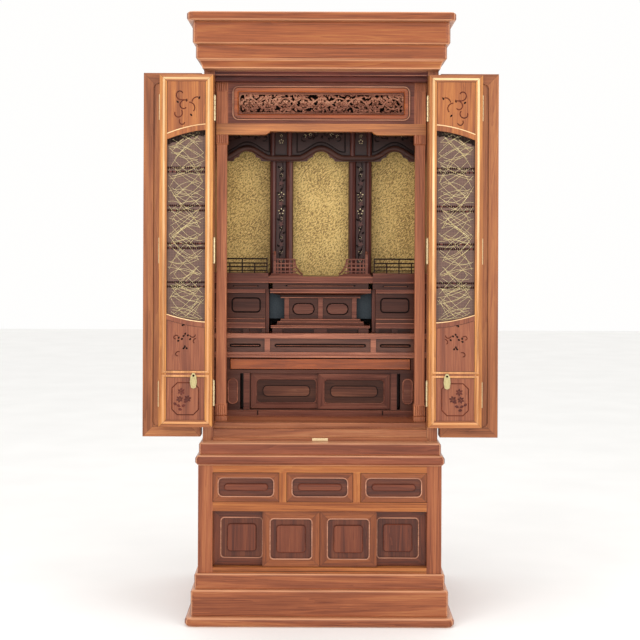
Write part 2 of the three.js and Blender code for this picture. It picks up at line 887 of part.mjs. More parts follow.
function lintel() {
  const shape = new THREE.Shape();
  const end = sillHalf;
  const inner = lintelReliefHalf;
  const outer = inner + lintelOgee;
  shape.moveTo(-end, lintelZ);
  shape.lineTo(-outer, lintelZ);
  shape.quadraticCurveTo(-(outer + inner) / 2, lintelZ, -inner, lintelZ + lintelRelief);
  shape.lineTo(inner, lintelZ + lintelRelief);
  shape.quadraticCurveTo((outer + inner) / 2, lintelZ, outer, lintelZ);
  shape.lineTo(end, lintelZ);
  shape.lineTo(end, lintelTopZ);
  shape.lineTo(-end, lintelTopZ);
  const curveSteps = 4;
  return elevation(shape, transomY - lintelProud, transomY - lintelProud + postDepth, curveSteps);
}
addPart("lintel", lintel(), caseWood);

const transomMouldingHalf = postX0 - transomMouldingSide;
const carvingHalf = transomMouldingHalf - carvingMargin;
const mouldingZ0 = lintelTopZ + (transomHeight - transomMouldingHeight) / 2;
const mouldingZ1 = mouldingZ0 + transomMouldingHeight;
function transom() {
  const field = elevation(
    roundedOutline(-transomMouldingHalf, transomMouldingHalf, mouldingZ0, mouldingZ1, transomFieldRadius),
    transomY - 1, transomY + transomMouldingSink,
  );
  const hole = elevation(
    roundedOutline(
      -carvingHalf, carvingHalf,
      mouldingZ0 + carvingMargin, mouldingZ1 - carvingMargin,
      carvingRadius,
    ),
    transomY - 1, transomY + transomThick + 1,
  );
  const board = block(-sillHalf, sillHalf, transomY, transomY + transomThick, lintelTopZ, headStepZ);
  const made = [cutAll(board, [field, hole])];
  const capitalY = transomY - lintelProud - capitalProud;
  for (const side of [-1, 1]) {
    const x0 = side > 0 ? postX0 : -postX1;
    const x1 = x0 + postWidth;
    made.push(block(x0, x1, transomY - lintelProud, transomY + 1, lintelTopZ, headStepZ));
    made.push(block(x0 - 1, x1 + 1, capitalY, transomY + 1, headStepZ - capitalHeight, headStepZ));
  }
  return joinAll(made);
}
addPart("transom", transom(), caseWood);

function transomCarving() {
  const z0 = mouldingZ0 + carvingMargin + fit;
  const z1 = mouldingZ1 - carvingMargin - fit;
  const half = carvingHalf - fit;
  const y0 = transomY + carvingSink;
  const y1 = y0 + carvingThick;
  const midZ = (z0 + z1) / 2;
  const leafLength = 24;
  const outerLeafLength = 28;
  const ring = cutAll(elevation(roundedOutline(-half, half, z0, z1, carvingRadius), y0, y1), [
    elevation(
      roundedOutline(
        -half + carvingBorder, half - carvingBorder,
        z0 + carvingBorder, z1 - carvingBorder,
        carvingRadius - carvingBorder,
      ),
      y0 - 1, y1 + 1,
    ),
  ]);
  const waves = 3;
  const swing = (z1 - z0) * 0.28;
  const vine = (t) => [-half + 1 + t * (2 * half - 2), midZ + swing * Math.sin(t * Math.PI * 2 * waves)];
  const made = [ring, elevation(bandOutline(vine, vineWidth, waves * 6), y0, y1)];
  for (let i = 0; i < waves * 2; i += 1) {
    const t = (i + 0.5) / (waves * 2);
    const [x, z] = vine(t);
    const up = z > midZ ? 1 : -1;
    made.push(elevation(petalOutline(x, z - up * flowerRadius, flowerRadius, 5, i), y0, y1));
    for (const side of [1, -1]) {
      const turn = side > 0 ? 0 : Math.PI;
      const rootX = x + side * flowerRadius;
      const rootZ = z - up * 4;
      made.push(elevation(leafOutline(x, z, leafLength, turn + side * up * 1.1), y0, y1));
      made.push(elevation(leafOutline(rootX, rootZ, outerLeafLength, turn - side * up * 0.7), y0, y1));
    }
  }
  const frame = elevation(roundedOutline(-half, half, z0, z1, carvingRadius), y0 - 1, y1 + 1);
  const trimmed = toSolid(joinAll(made)).intersect(toSolid(frame));
  return toGeometry(trimmed);
}
addPart("transom_carving", transomCarving(), carvedWood);

function frontPost() {
  const y0 = transomY - lintelProud + 1;
  const y1 = y0 + postDepth - 2;
  const ease = 3;
  const bandZ = floorZ + footHeight + ease;
  const bandTopZ = bandZ + footBandHeight;
  const level = (z, proud) => [z, postX0 - proud, postX1 + Math.min(proud, 0.5), y0 - proud, y1 + proud];
  return stacked([
    level(floorZ, 1.5),
    level(floorZ + footHeight, 1.5),
    level(floorZ + footHeight + 1, -2),
    level(bandZ - 1, -2),
    level(bandZ, 1),
    level(bandTopZ, 1),
    level(bandTopZ + ease, -1),
    level(lintelZ - capitalHeight - ease, -1),
    level(lintelZ - capitalHeight, capitalProud),
    level(lintelZ, capitalProud),
  ]);
}
addPair("front_post", frontPost(), caseWood);

// Inner base: low board, sliding pair, pull-out tray and their carcass

const cupboardZ = floorZ + lowBoardHeight + 3;
const trayZ = cupboardZ + cupboardHeight + innerRailHeight;
const ledgeZ = trayZ + trayHeight + 2 * trayGap;
const slotBandZ = ledgeZ + ledgeHeight;
const shelfZ = slotBandZ + slotBandHeight;
const altarZ = shelfZ + shelfHeight;
const trayHalf = postX0 - 4;
const innerRearY = altarY + innerBaseDepth;

function innerBase() {
  const back = 8;
  const cupboardTop = cupboardZ + cupboardHeight;
  const cupboard = block(-cupboardHalf, cupboardHalf, altarY - 1, innerRearY - back, cupboardZ, cupboardTop);
  const traySlot = block(
    -trayHalf - trayGap, trayHalf + trayGap,
    altarY - 1, innerRearY - back,
    trayZ - trayGap, ledgeZ - trayGap + 1,
  );
  const tools = [cupboard, traySlot];
  const extras = [];
  for (const side of [-1, 1]) {
    // The left edge of a strip that starts at this distance past the opening, on this side
    const edge = (offset, width) => (side > 0 ? cupboardHalf + offset : -cupboardHalf - offset - width);
    const slitX = edge(slitOffset, slitWidth);
    tools.push(block(slitX, slitX + slitWidth, altarY - 1, altarY + slitDepth, cupboardZ, cupboardTop));
    const stripX = edge(2, innerStripWidth);
    extras.push(block(stripX, stripX + innerStripWidth, altarY - 3, altarY + 1, cupboardZ, cupboardTop));
    const x0 = edge(endTabletOffset, endTabletWidth);
    const x1 = x0 + endTabletWidth;
    const tablet = roundedOutline(x0, x1, cupboardZ + 16, cupboardTop - 15, innerTabletRadius);
    extras.push(elevation(tablet, altarY - 2.5, altarY + 1));
  }
  extras.push(block(-innerHalf, innerHalf, altarY - 4, altarY + 1, floorZ, floorZ + lowBoardHeight));
  return joinAll([
    cutAll(block(-innerHalf, innerHalf, altarY, innerRearY, floorZ, ledgeZ), tools),
    ...extras,
  ]);
}
addPart("inner_base", innerBase(), innerWood);

const innerDoorWidth = cupboardHalf + innerDoorOverlap / 2;
function innerDoor(x0, y0) {
  return sunkPanel(
    x0 + doorClear, x0 + innerDoorWidth - doorClear,
    cupboardZ + doorClear, cupboardZ + cupboardHeight - doorClear,
    y0, y0 + innerDoorThick,
    innerBorder, innerFieldRadius, innerTabletGap, innerTabletRadius, innerSink,
  );
}
addPart("inner_door_right", innerDoor(cupboardHalf - innerDoorWidth, altarY + 2), innerWood);
addPart("inner_door_left", innerDoor(-cupboardHalf, altarY + 2 + innerDoorThick + doorClear), innerWood);

function pullOutTray() {
  const lipThick = 16;
  const leafHeight = 12;
  const y0 = altarY - 2;
  const lip = block(-trayHalf, trayHalf, y0, y0 + lipThick, trayZ, trayZ + trayHeight);
  const leaf = block(-trayHalf, trayHalf, y0 + lipThick - 1, altarY + trayDepth, trayZ, trayZ + leafHeight);
  return joinAll([lip, leaf]);
}
addPart("pull_out_tray", pullOutTray(), doorWood);

// Step shelf over the inner base

function stepShelf() {
  const edgeY = altarY - 3;
  const ledgeY = altarY - 5;
  const bandY = altarY + 6;
  const section = outlineOf([
    [ledgeY, ledgeZ],
    [innerRearY, ledgeZ],
    [innerRearY, altarZ],
    [edgeY, altarZ],
    [edgeY, shelfZ],
    [bandY, shelfZ],
    [bandY, slotBandZ],
    [edgeY, slotBandZ],
    [edgeY, ledgeZ + ledgeHeight * 0.55],
    [ledgeY, ledgeZ + ledgeHeight * 0.5],
  ]);
  const slots = [];
  const posts = [];
  const slotZ = slotBandZ + slotBandHeight * 0.34;
  const slotEnds = [
    [-sideSlotOuter, -sideSlotInner],
    [-middleSlotHalf, middleSlotHalf],
    [sideSlotInner, sideSlotOuter],
  ];
  for (const [x0, x1] of slotEnds) {
    const rounding = slotHeight * 0.45;
    slots.push(elevation(roundedOutline(x0, x1, slotZ, slotZ + slotHeight, rounding), altarY, bandY + 4));
  }
  const postHalf = slotPostWidth / 2;
  for (const x of [-slotPostX, slotPostX]) {
    posts.push(block(x - postHalf, x + postHalf, altarY, bandY + 1, slotBandZ, shelfZ));
  }
  return joinAll([cutAll(run(section, -innerHalf, innerHalf), slots), ...posts]);
}
addPart("step_shelf", stepShelf(), innerWood);

// Central altar, built of a base, a waist and a top

const altarBaseZ = altarZ;
const altarWaistZ = altarBaseZ + altarFeetHeight + altarMouldingHeight;
const altarCrownZ = altarWaistZ + altarWaistHeight;
const altarFriezeZ = altarCrownZ + altarCrownHeight;
const altarSlabZ = altarFriezeZ + altarFriezeHeight;
const altarTopZ = altarSlabZ + altarSlabHeight;
const altarFrontY = altarY + 12;
const altarRearY = goldY - fit;

function altarBase() {
  const m = altarMouldingHeight;
  const z = altarBaseZ + altarFeetHeight;
  const half = altarHalf - 7;
  const feet = block(-half + 4, half - 4, altarFrontY + 4, innerRearY, altarBaseZ, z);
  const gaps = [];
  for (const side of [-1, 1]) {
    const x0 = side > 0 ? feetGapInner : -feetGapInner - feetGapWidth;
    gaps.push(block(x0, x0 + feetGapWidth, altarFrontY, altarFrontY + 20, altarBaseZ - 1, z - 4));
  }
  return joinAll([
    cutAll(feet, gaps),
    stacked([
      [z, -half, half, altarFrontY, innerRearY],
      [z + m * 0.25, -half, half, altarFrontY, innerRearY],
      [z + m * 0.3, -half + 16, half - 16, altarFrontY + 9, innerRearY],
      [z + m * 0.7, -half + 18, half - 18, altarFrontY + 12, innerRearY],
      [z + m * 0.72, -half + 25, half - 25, altarFrontY + 17, innerRearY],
      [z + m, -half + 27, half - 27, altarFrontY + 19, innerRearY],
    ]),
  ]);
}
addPart("altar_base", altarBase(), innerWood);

function altarWaist() {
  const half = altarHalf - waistInset;
  const y0 = altarFrontY + 25;
  const boardY = y0 + 4;
  const z0 = altarWaistZ;
  const z1 = altarCrownZ;
  const tabletZ = z0 + 14;
  const tabletHeight = 28;
  const made = [block(-half + 1, half - 1, boardY, innerRearY, z0, z1)];
  for (const x of [-half, -waistPostWidth / 2, half - waistPostWidth]) {
    made.push(block(x, x + waistPostWidth, y0, boardY + 1, z0, z1));
  }
  for (const side of [-1, 1]) {
    const x0 = side > 0 ? waistTabletInner : -waistTabletInner - waistTabletWidth;
    const x1 = x0 + waistTabletWidth;
    const rounding = tabletHeight / 2 - 1;
    made.push(
      elevation(roundedOutline(x0, x1, tabletZ, tabletZ + tabletHeight, rounding), y0 + 1.5, boardY + 1),
    );
  }
  return joinAll(made);
}
addPart("altar_waist", altarWaist(), innerWood);

function altarTop() {
  const c = altarCrownHeight;
  const z = altarCrownZ;
  const half = altarHalf;
  const slotZ = altarFriezeZ + 8;
  const slot = roundedOutline(-friezeSlotHalf, friezeSlotHalf, slotZ, slotZ + 4, 1.5);
  const frieze = cutAll(
    block(-half + 12, half - 12, altarFrontY + 3, innerRearY, altarFriezeZ, altarSlabZ),
    [elevation(slot, altarFrontY, altarFrontY + 7)],
  );
  return joinAll([
    stacked([
      [z, -half + 34, half - 34, altarFrontY + 19, innerRearY],
      [z + c * 0.3, -half + 33, half - 33, altarFrontY + 18, innerRearY],
      [z + c * 0.6, -half + 5, half - 5, altarFrontY, innerRearY],
      [z + c, -half + 4, half - 4, altarFrontY, innerRearY],
    ]),
    frieze,
    block(-half, half, altarY, altarRearY, altarSlabZ, altarTopZ),
  ]);
}
addPart("altar_top", altarTop(), innerWood);

// Side shelves beside the altar

const sideTopZ = altarTopZ + sideSlabExtra;
const sideInnerX = altarHalf + fit;
function sideShelf() {
  const z = altarBaseZ;
  const feetZ = z + altarFeetHeight;
  const panelZ = feetZ + altarMouldingHeight + 2;
  const panelTop = altarFriezeZ - 10;
  const section = outlineOf([
    [altarY + 14, z],
    [altarRearY, z],
    [altarRearY, sideTopZ],
    [altarY, sideTopZ],
    [altarY, altarSlabZ],
    [altarY + 10, altarSlabZ],
    [altarY + 10, altarFriezeZ],
    [altarY + 5, altarFriezeZ],
    [altarY + 5, panelTop],
    [altarY + 18, panelTop],
    [altarY + 18, panelZ],
    [altarY + 12, panelZ],
    [altarY + 12, feetZ + altarMouldingHeight * 0.6],
    [altarY + 8, feetZ + altarMouldingHeight * 0.6],
    [altarY + 8, feetZ],
    [altarY + 14, feetZ],
  ]);
  const x0 = sideInnerX;
  const notch = block(x0 - 1, x0 + 8, altarY - 1, altarRearY + 1, z - 1, altarFriezeZ);
  const gaps = [notch];
  const middle = sidePanelMiddle;
  for (const side of [-1, 1]) {
    const gapX = middle + side * sideFeetSpread - sideFeetGap / 2;
    gaps.push(block(gapX, gapX + sideFeetGap, altarY + 1, altarY + 30, z - 1, feetZ - 4));
  }
  const slotZ = altarFriezeZ + 7;
  gaps.push(
    elevation(
      roundedOutline(middle + 1 - sideSlotHalf, middle + 1 + sideSlotHalf, slotZ, slotZ + 4, 1.5),
      altarY + 5, altarY + 14,
    ),
  );
  const line = 2;
  const x2 = middle - sidePanelHalf;
  const x3 = middle + sidePanelHalf;
  const lineZ0 = panelZ + 18;
  const lineZ1 = panelZ + 57;
  const groove = cutAll(
    elevation(roundedOutline(x2, x3, lineZ0, lineZ1, 10), altarY + 15, altarY + 21),
    [
      elevation(
        roundedOutline(x2 + line, x3 - line, lineZ0 + line, lineZ1 - line, 8.5),
        altarY + 14, altarY + 22,
      ),
    ],
  );
  return cutAll(run(section, x0, innerHalf), [...gaps, groove]);
}
addPair("side_shelf", sideShelf(), innerWood);

// Railings

function sideRailing() {
  const y0 = altarY + 6;
  const y1 = y0 + railingBar;
  const x0 = sideInnerX + 2;
  const x1 = innerHalf - 6;
  const made = [];
  for (const share of [0.16, 0.4, 0.66, 0.96]) {
    const z = sideTopZ + railingHeight * share;
    made.push(block(x0, x1, y0, y1, z - 1.4, z + 1.4));
  }
  const bays = 4;
  for (let i = 0; i <= bays; i += 1) {
    const x = x0 + 1.5 + ((x1 - x0 - 3) * i) / bays;
    const tall = i % 2 === 0;
    const top = sideTopZ + railingHeight * (tall ? 0.96 : 0.66);
    made.push(block(x - 1.4, x + 1.4, y0, y1, sideTopZ, top));
  }
  return joinAll(made);
}
addPair("side_railing", sideRailing(), darkWood);

function altarRailing() {
  const y0 = altarY + 8;
  const x1 = altarHalf - 14;
  const x0 = altarRailingX;
  const footX = altarRailingFootX;
  const z0 = altarTopZ;
  const made = [
    stacked([
      [z0, footX, altarHalf - 4, y0 - 5, y0 + 9],
      [z0 + 4, footX + 1, altarHalf - 4, y0 - 5, y0 + 9],
      [z0 + 9, x0 - 18, altarHalf - 8, y0 - 2, y0 + 6],
    ]),
    block(x1 - 6, x1, y0 - 1, y0 + 5, z0 + 8, z0 + altarRailingHeight),
    stacked([
      [z0 + altarRailingHeight - 1, x1 - 4.5, x1 - 1.5, y0 + 0.5, y0 + 3.5],
      [z0 + altarRailingHeight + 2, x1 - 6.5, x1 + 0.5, y0 - 1.5, y0 + 5.5],
      [z0 + altarRailingHeight + 5, x1 - 6.5, x1 + 0.5, y0 - 1.5, y0 + 5.5],
      [z0 + altarRailingHeight + 9, x1 - 3.5, x1 - 2.5, y0 + 1.5, y0 + 2.5],
    ]),
  ];
  for (const share of [0.3, 0.52, 0.78]) {
    const z = z0 + altarRailingHeight * share;
    made.push(block(x0 - 14 * (1 - share), x1 - 3, y0, y0 + 3, z - 1.5, z + 1.5));
  }
  for (const x of [x0, x0 + 12, x0 + 24]) {
    made.push(block(x - 1.5, x + 1.5, y0, y0 + 3, z0 + 8, z0 + altarRailingHeight * 0.78));
  }
  return joinAll(made);
}
addPair("altar_railing", altarRailing(), innerWood);

// Cloth-covered board, pillars and the arched valance

addPart(
  "gold_board",
  block(-innerHalf, innerHalf, goldY, goldY + goldBoardThick, floorZ, headZ),
  goldCloth,
);

const pillarY = stileY + pillarSetback;
const valanceTopZ = lintelTopZ + 14;
function pillar() {
  const y1 = pillarY + pillarDepth;
  const points = [[pillarInner, y1]];
  const innerRound = 21;
  const outerRound = 17;
  const recessY = pillarY + 14;
  const round = (x0, x1) => {
    const middle = (x0 + x1) / 2;
    const radius = (x1 - x0) / 2;
    for (let i = 0; i <= 4; i += 1) {
      const angle = Math.PI * (1 + i / 4);
      points.push([middle + radius * Math.cos(angle), pillarY + radius + radius * Math.sin(angle)]);
    }
  };
  round(pillarInner, pillarInner + innerRound);
  points.push([pillarInner + innerRound + 1, recessY], [pillarOuter - outerRound - 1, recessY]);
  round(pillarOuter - outerRound, pillarOuter);
  points.push([pillarOuter, y1]);
  const shape = outlineOf(points);
  const height = valanceTopZ - altarTopZ;
  const geometry = new THREE.ExtrudeGeometry(shape, { depth: height, bevelEnabled: false });
  const made = [geometry.translate(0, 0, altarTopZ)];
  const middle = (pillarInner + innerRound + pillarOuter - outerRound) / 2;
  const flowers = 4;
  const firstFlower = 90;
  const flowerPitch = 58;
  for (let i = 0; i < flowers; i += 1) {
    const z = altarTopZ + firstFlower + i * flowerPitch;
    made.push(elevation(petalOutline(middle, z, 10, 5, i), recessY - 4, recessY + 1));
  }
  return joinAll(made);
}
addPair("pillar", pillar(), darkWood);

const shoulderZ = altarTopZ + valanceShoulder;
function valance() {
  const bayOffset = pillarOuter + 64;
  const bayMiddles = [-bayOffset, 0, bayOffset];
  const edge = (x) => {
    let rise = 0;
    for (const middle of bayMiddles) {
      const t = Math.abs(x - middle) / archHalf;
      const crown = lobeFoot + (1 - lobeFoot) * Math.sqrt(Math.max(0, 1 - (t / (lobeShare * 1.02)) ** 2));
      const side = lobeFoot * Math.sqrt(Math.max(0, 1 - ((t - lobeShare) / (1 - lobeShare)) ** 2));
      if (t < 1) rise = archPeak * (t <= lobeShare ? crown : side);
    }
    return shoulderZ + rise;
  };
  const archSteps = 5;
  const across = [-innerHalf];
  for (const middle of bayMiddles) {
    for (let i = -archSteps; i <= archSteps; i += 1) across.push(middle + (archHalf * i) / archSteps);
  }
  across.push(innerHalf);
  const low = across.map((x) => [x, edge(x)]);
  const bandTop = across.map((x) => [x, edge(x) + valanceBand]).reverse();
  const y0 = stileY + valanceSetback;
  const band = elevation(outlineOf([...low, ...bandTop]), y0 - 6, y0 + 1);
  const board = elevation(
    outlineOf([...low, [innerHalf, valanceTopZ], [-innerHalf, valanceTopZ]]),
    y0, y0 + valanceThick,
  );
  return joinAll([band, board]);
}
addPart("arched_valance", valance(), darkWood);

export default cabinet;
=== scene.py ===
import math
import random

import bmesh
import bpy
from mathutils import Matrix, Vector


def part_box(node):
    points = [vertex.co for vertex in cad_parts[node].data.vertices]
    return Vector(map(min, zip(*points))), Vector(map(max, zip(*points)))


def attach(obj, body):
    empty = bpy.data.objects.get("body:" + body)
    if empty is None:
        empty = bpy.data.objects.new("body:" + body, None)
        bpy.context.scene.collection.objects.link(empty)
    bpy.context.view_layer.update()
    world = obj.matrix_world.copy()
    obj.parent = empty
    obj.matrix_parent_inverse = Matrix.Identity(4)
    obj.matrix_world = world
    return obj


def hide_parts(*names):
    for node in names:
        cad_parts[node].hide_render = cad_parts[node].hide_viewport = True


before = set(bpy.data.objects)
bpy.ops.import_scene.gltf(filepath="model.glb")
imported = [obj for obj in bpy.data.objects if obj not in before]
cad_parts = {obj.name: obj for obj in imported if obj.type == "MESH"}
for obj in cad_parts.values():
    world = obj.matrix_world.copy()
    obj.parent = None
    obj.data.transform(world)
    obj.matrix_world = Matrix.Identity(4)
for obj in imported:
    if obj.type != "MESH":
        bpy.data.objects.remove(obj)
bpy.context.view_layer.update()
print("frame loaded")

metresPerMillimetre = 0.001


def linear(code):
    values = [int(code[place:place + 2], 16) / 255 for place in (0, 2, 4)]
    return [value / 12.92 if value < 0.04 else ((value + 0.055) / 1.055) ** 2.4 for value in values] + [1.0]


class Shader:
    def __init__(self, name):
        self.material = bpy.data.materials.new(name)
        self.material.use_nodes = True
        self.tree = self.material.node_tree
        self.surface = self.tree.nodes["Principled BSDF"]
        self.place = self.add("ShaderNodeTexCoord").outputs["Object"]

    def add(self, kind, **settings):
        node = self.tree.nodes.new(kind)
        for key, value in settings.items():
            setattr(node, key, value)
        return node

    def feed(self, socket, value):
        if isinstance(value, bpy.types.NodeSocket):
            self.tree.links.new(value, socket)
        else:
            socket.default_value = value

    def math(self, operation, *values):
        node = self.add("ShaderNodeMath", operation=operation)
        for socket, value in zip(node.inputs, values):
            self.feed(socket, value)
        return node.outputs[0]

    def axes(self):
        split = self.add("ShaderNodeSeparateXYZ")
        self.feed(split.inputs[0], self.place)
        return split.outputs

    def join(self, x, y, z):
        node = self.add("ShaderNodeCombineXYZ")
        for socket, value in zip(node.inputs, (x, y, z)):
            self.feed(socket, value)
        return node.outputs[0]

    def blend(self, factor, a, b):          # a where factor is 0
        return self.math("ADD", self.math("MULTIPLY", self.math("SUBTRACT", b, a), factor), a)

    def mix(self, factor, a, b):            # colours, a where factor is 0
        node = self.add("ShaderNodeMix", data_type="RGBA")
        for place, value in ((0, factor), (6, a), (7, b)):
            self.feed(node.inputs[place], value)
        return node.outputs[2]

    def noise(self, vector, scale, detail=3.0, distortion=0.0):
        node = self.add("ShaderNodeTexNoise")
        self.feed(node.inputs["Vector"], vector)
        self.feed(node.inputs["Scale"], scale)
        self.feed(node.inputs["Detail"], detail)
        self.feed(node.inputs["Distortion"], distortion)
        return node.outputs[0]

    def ramp(self, factor, stops):
        node = self.add("ShaderNodeValToRGB")
        band = node.color_ramp
        while len(band.elements) < len(stops):
            band.elements.new(0.5)
        for element, (position, code) in zip(band.elements, stops):
            element.position = position
            element.color = linear(code) if isinstance(code, str) else (code, code, code, 1.0)
        self.feed(node.inputs[0], factor)
        return node.outputs[0]

    def within(self, value, low, high, soft):   # 1 between low and high
        rise = self.add("ShaderNodeMapRange")
        for socket, number in zip(rise.inputs, (value, low - soft, low, 0.0, 1.0)):
            self.feed(socket, number)
        fall = self.add("ShaderNodeMapRange")
        for socket, number in zip(fall.inputs, (value, high, high + soft, 1.0, 0.0)):
            self.feed(socket, number)
        return self.math("MULTIPLY", rise.outputs[0], fall.outputs[0])

    def finish(self, colour, roughness, **constants):
        self.feed(self.surface.inputs["Base Color"], colour)
        self.feed(self.surface.inputs["Roughness"], roughness)
        for key, value in constants.items():
            self.surface.inputs[key.replace("_", " ")].default_value = value
        return self.material

    def relief(self, height, strength, distance):
        bump = self.add("ShaderNodeBump")
        bump.inputs["Strength"].default_value = strength
        bump.inputs["Distance"].default_value = distance
        self.feed(bump.inputs["Height"], height)
        self.feed(self.surface.inputs["Normal"], bump.outputs[0])


tones = {
    "case": {"light": "AC6E3B", "middle": "934F2A", "dark": "6A341A", "rough": 0.36, "coat": 0.1},
    "waist": {"light": "9A5B3A", "middle": "82442B", "dark": "5D2C1A", "rough": 0.36, "coat": 0.1},
    "plinth": {"light": "B07347", "middle": "955433", "dark": "6C3621", "rough": 0.36, "coat": 0.1},
    "stile": {"light": "B37E56", "middle": "9B5E3C", "dark": "723D26", "rough": 0.36, "coat": 0.1},
    "frame": {"light": "B87B42", "middle": "9F5C2E", "dark": "753B1C", "rough": 0.36, "coat": 0.1},
    "post": {"light": "CC885B", "middle": "AE6744", "dark": "7C4229", "rough": 0.34, "coat": 0.1},
    "side": {"light": "B87B49", "middle": "9B5D38", "dark": "6F3D23", "rough": 0.36, "coat": 0.1},
    "leaf": {"light": "BB7A3B", "middle": "9E5B2C", "dark": "723A1C", "rough": 0.33, "coat": 0.12},
    "leafLow": {"light": "9F613F", "middle": "82472E", "dark": "5B2B1D", "rough": 0.33, "coat": 0.12},
    "rim": {"light": "DA9F56", "middle": "BC7B3C", "dark": "8F5328", "rough": 0.3, "coat": 0.12},
    "rail": {"light": "BA7F4B", "middle": "A26236", "dark": "784023", "rough": 0.3, "coat": 0.12},
    # The pale bead tone is partly the beads' own lighter colour and partly a painted highlight along the rounded
    # beads.
    "bead": {"light": "FADEAF", "middle": "E8BF8C", "dark": "BC905F", "rough": 0.28, "coat": 0.15},
    "beadLow": {"light": "E0A670", "middle": "C68852", "dark": "9A6334", "rough": 0.28, "coat": 0.15},
    "trim": {"light": "D0977A", "middle": "B67E60", "dark": "8A5843", "rough": 0.28, "coat": 0.15},
    "drawer": {"light": "83472A", "middle": "6A321C", "dark": "471D10", "rough": 0.33, "coat": 0.12},
    "drawerRim": {"light": "985932", "middle": "824420", "dark": "602E17", "rough": 0.33, "coat": 0.12},
    # darker copy of the sliders' rim tone: painted shade on the rear sliding doors, which stand back in shadow
    "deepRim": {"light": "834528", "middle": "6A321C", "dark": "451D0F", "rough": 0.36, "coat": 0.1},
    "head": {"light": "733428", "middle": "5B261C", "dark": "3A130D", "rough": 0.33, "coat": 0.08},
    "transom": {"light": "945541", "middle": "7C4433", "dark": "56291D", "rough": 0.33, "coat": 0.08},
    "inner": {"light": "81533C", "middle": "643A2A", "dark": "3D1F16", "rough": 0.3, "coat": 0.05},
    "lip": {"light": "8A5946", "middle": "714031", "dark": "4D251B", "rough": 0.3, "coat": 0.06},
    "tray": {"light": "BB6932", "middle": "A05125", "dark": "703316", "rough": 0.3, "coat": 0.12},
    "lintel": {"light": "CE8C52", "middle": "B4703C", "dark": "884C27", "rough": 0.3, "coat": 0.12},
    "edge": {"light": "BC7B5C", "middle": "A0624A", "dark": "74402E", "rough": 0.28, "coat": 0.1},
    "dark": {"light": "35221C", "middle": "231512", "dark": "120A08", "rough": 0.34, "coat": 0.03},
    "plum": {"light": "73443A", "middle": "57302A", "dark": "381C18", "rough": 0.3, "coat": 0.08},
    "band": {"light": "5E3C31", "middle": "482C24", "dark": "2C1913", "rough": 0.32, "coat": 0.06},
    "carved": {"light": "D4A587", "middle": "A46E57", "dark": "62392D", "rough": 0.42, "coat": 0.05},
    "cut": {"light": "763720", "middle": "5A2615", "dark": "3A160B", "rough": 0.42, "coat": 0.05},
}


def woodStops(tone):
    return [(0.24, tone["dark"]), (0.46, tone["middle"]), (0.70, tone["light"])]


figuring = {                                 # stretch along the grain, noise scales, shares of each layer
    "broadStretch": 0.055, "fineStretch": 0.018, "seedShift": 0.37, "figureScale": 24.0,
    "figureDetail": 4.0, "figureWarp": 1.1, "figureShare": 0.72, "rings": 5.0, "ringShare": 0.12,
    "streakScale": 420.0, "streakShare": 0.5, "poreScale": 1500.0, "poreLevel": 0.34, "poreShade": 0.45,
    "highlightColour": "DDA27A", "shadeAndDarkColour": "2A130B", "bump": 0.10, "bumpDepth": 0.0004, "gloss": 2.4,
    "coatRoughness": 0.25,
}


# A figured wood colour. Regions are pairs of a mask and a tone. The highlight mask mixes in a pale colour as a
# painted highlight along edges. The shade mask darkens towards a dark colour: painted shade in recesses, dark
# joint lines, and the pillars' own black panel.
def grain(shader, along, acrossA, acrossB, tone, seed, shade=None, regions=(), paintedHighlight=None):
    shifted = shader.math("ADD", acrossB, seed * figuring["seedShift"])
    broad = shader.join(shader.math("MULTIPLY", along, figuring["broadStretch"]), acrossA, shifted)
    fine = shader.join(shader.math("MULTIPLY", along, figuring["fineStretch"]), acrossA, shifted)
    figure = shader.noise(broad, figuring["figureScale"], figuring["figureDetail"], figuring["figureWarp"])
    rings = shader.math("FRACT", shader.math("MULTIPLY", figure, figuring["rings"]))
    streaks = shader.noise(fine, figuring["streakScale"])
    pores = shader.noise(fine, figuring["poreScale"], 1.0)
    figurePart = shader.math("MULTIPLY", figure, figuring["figureShare"])
    level = shader.math("ADD", figurePart, shader.math("MULTIPLY", rings, figuring["ringShare"]))
    streakPart = shader.math("MULTIPLY", shader.math("SUBTRACT", streaks, 0.5), figuring["streakShare"])
    level = shader.math("ADD", level, streakPart)
    colour = shader.ramp(level, woodStops(tone))
    for mask, other in regions:
        colour = shader.mix(mask, colour, shader.ramp(level, woodStops(other)))
    poreMask = shader.within(pores, 0.0, figuring["poreLevel"], 0.05)
    inPore = shader.math("MULTIPLY", poreMask, figuring["poreShade"])
    colour = shader.mix(inPore, colour, linear(tone["dark"]))
    # painted highlight: the pale colour is mixed in where the highlight mask is set
    if paintedHighlight is not None:
        patchyHighlight = shader.math("MULTIPLY", paintedHighlight, shader.math("ADD", streaks, 0.1))
        colour = shader.mix(patchyHighlight, colour, linear(figuring["highlightColour"]))
    # painted shade: the dark colour is mixed in where the shade mask is set, and the same mask also draws dark
    # joint lines
    if shade is not None:
        colour = shader.mix(shade, colour, linear(figuring["shadeAndDarkColour"]))
    roughness = shader.blend(streaks, tone["rough"] - 0.05, tone["rough"] + 0.12)
    shader.relief(shader.math("SUBTRACT", streaks, poreMask), figuring["bump"], figuring["bumpDepth"])
    coat, coatRoughness = tone["coat"], figuring["coatRoughness"]
    return shader.finish(colour, roughness, Coat_Weight=coat, Coat_Roughness=coatRoughness,
                         Specular_IOR_Level=coat * figuring["gloss"])


# Painted shade in recesses and gaps along Y, except on the pillars, where the darkening is the sunk panel's own
# black colour.
def shadeAndTintByDepth(shader, y, depths):       # darker colour between two depths, in millimetres along Y
    total = None
    for low, high, amount in depths:
        part = shader.math("MULTIPLY", shader.within(y, low / 1000, high / 1000, 0.00015), amount)
        total = part if total is None else shader.math("MAXIMUM", total, part)
    return total


